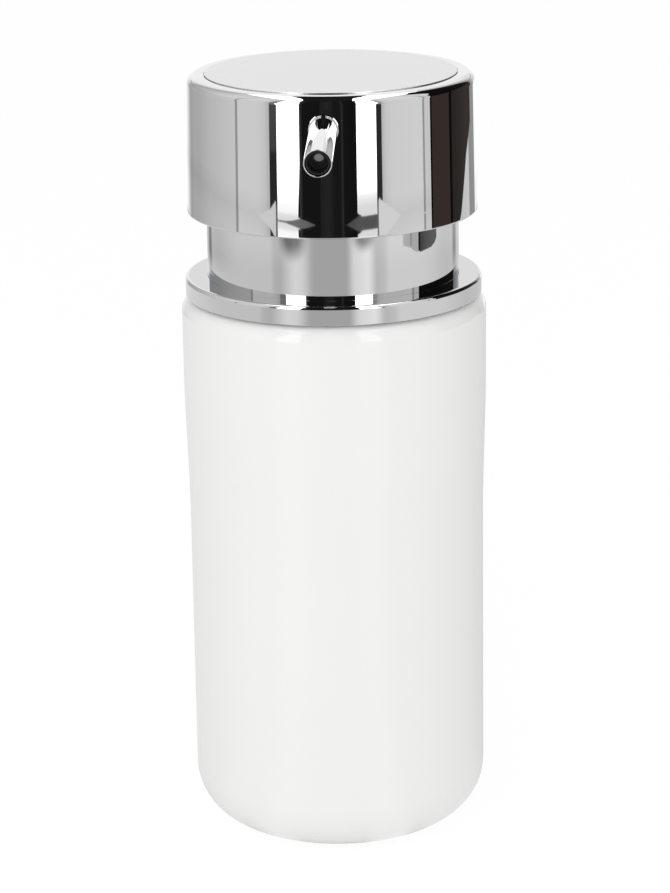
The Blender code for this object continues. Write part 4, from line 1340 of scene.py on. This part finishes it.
def board_paint():
    """Glowing white board, its tones painted light and shade: darker before the black panel, with
    painted gleams and dark lenses of painted shade before the strips.
    """
    material, shade, place = start_material("board_paint")
    split = shade.node("SeparateXYZ", inputs={"Vector": place}).socket.node.outputs
    x, y = Shade(shade.tree, split[0]), Shade(shade.tree, split[1])
    azimuth = shade.math("ARCTAN2", x, y * -1.0) * math.degrees(1)
    aside = shade.math("ABSOLUTE", azimuth)
    radius = shade.math("SQRT", x * x + y * y)
    at_right = azimuth.step(-1.0, 1.0)
    outer = radius.step(*OUTER_BAND)
    side = at_right * (BOARD_RIGHT - BOARD_LEFT) + BOARD_LEFT
    side = side + radius.step(*RIM_BAND) * RIM_BRIGHT
    bright = (1.0 - at_right) * (1.0 - outer) * BEHIND_BRIGHT
    side = side + aside.step(*BEHIND_SPREAD) * (bright - BEHIND_DARK)
    side = side - shade.math("ABSOLUTE", aside - EDGE_LINE).step(*EDGE_SPREAD) * outer * EDGE_DARK
    tone = BOARD_CENTRE + aside.step(*BOARD_SPREAD) * (side - BOARD_CENTRE)
    for middle, outside, inside, strength in GLEAMS:
        tone = tone + shade.math("ABSOLUTE", azimuth - middle).step(outside, inside) * strength
    for middle, outside, inside, strength in DIPS:
        tone = tone - shade.math("ABSOLUTE", azimuth - middle).step(outside, inside) * strength
    for middle, half_width, half_depth in LENSES:
        across = (azimuth - middle) * (1 / half_width)
        along = (radius - LENS_RADIUS) * (1 / half_depth)
        reach = shade.math("SQRT", across * across + along * along)
        tone = tone - reach.step(*LENS_FADE) * LENS_DEPTH
    glow = shade.node("Emission", inputs={"Color": shade.math("MAXIMUM", tone, LEAST_TONE)})
    shade.node("OutputMaterial", inputs={"Surface": glow})
    return material


def polished_top():
    """A sharp mirror."""
    material, shade, _ = start_material("polished_top")
    mirror = shade.node("BsdfGlossy", inputs={"Color": (1.0, 1.0, 1.0, 1.0), "Roughness": 0.0})
    shade.node("OutputMaterial", inputs={"Surface": mirror})
    return material


board = stage_piece("board", rings(BOARD_RINGS, whole_turn), board_paint())
mirror_only(board)
table_top = stage_piece("table_top", rings(TABLE_RINGS, whole_turn), polished_top())
mirror_only(table_top)


# Lamps
# Three soft lamps: one beside the camera, one high in front and one at the left. None shows in
# the chrome, which has its own panels.
LAMPS = {
    "camera_lamp": ((0.084, -1.53, 0.47), 0.5, 4.62),
    "high_lamp": ((-0.25, -1.05, 1.15), 0.8, 1.8),
    "left_lamp": ((-1.35, -0.60, 0.55), 0.9, 1.2),
}

aim = (cad_box[0] + cad_box[1]) / 2
for name, (spot, size, energy) in LAMPS.items():
    lamp = bpy.data.objects.new(name, bpy.data.lights.new(name, "AREA"))
    lamp.data.size = size
    lamp.data.energy = energy
    place = Matrix.Translation(spot)
    lamp.matrix_world = place @ (place.to_translation() - aim).to_track_quat("Z", "Y").to_matrix().to_4x4()
    bpy.context.scene.collection.objects.link(lamp)
    lamp.visible_glossy = False
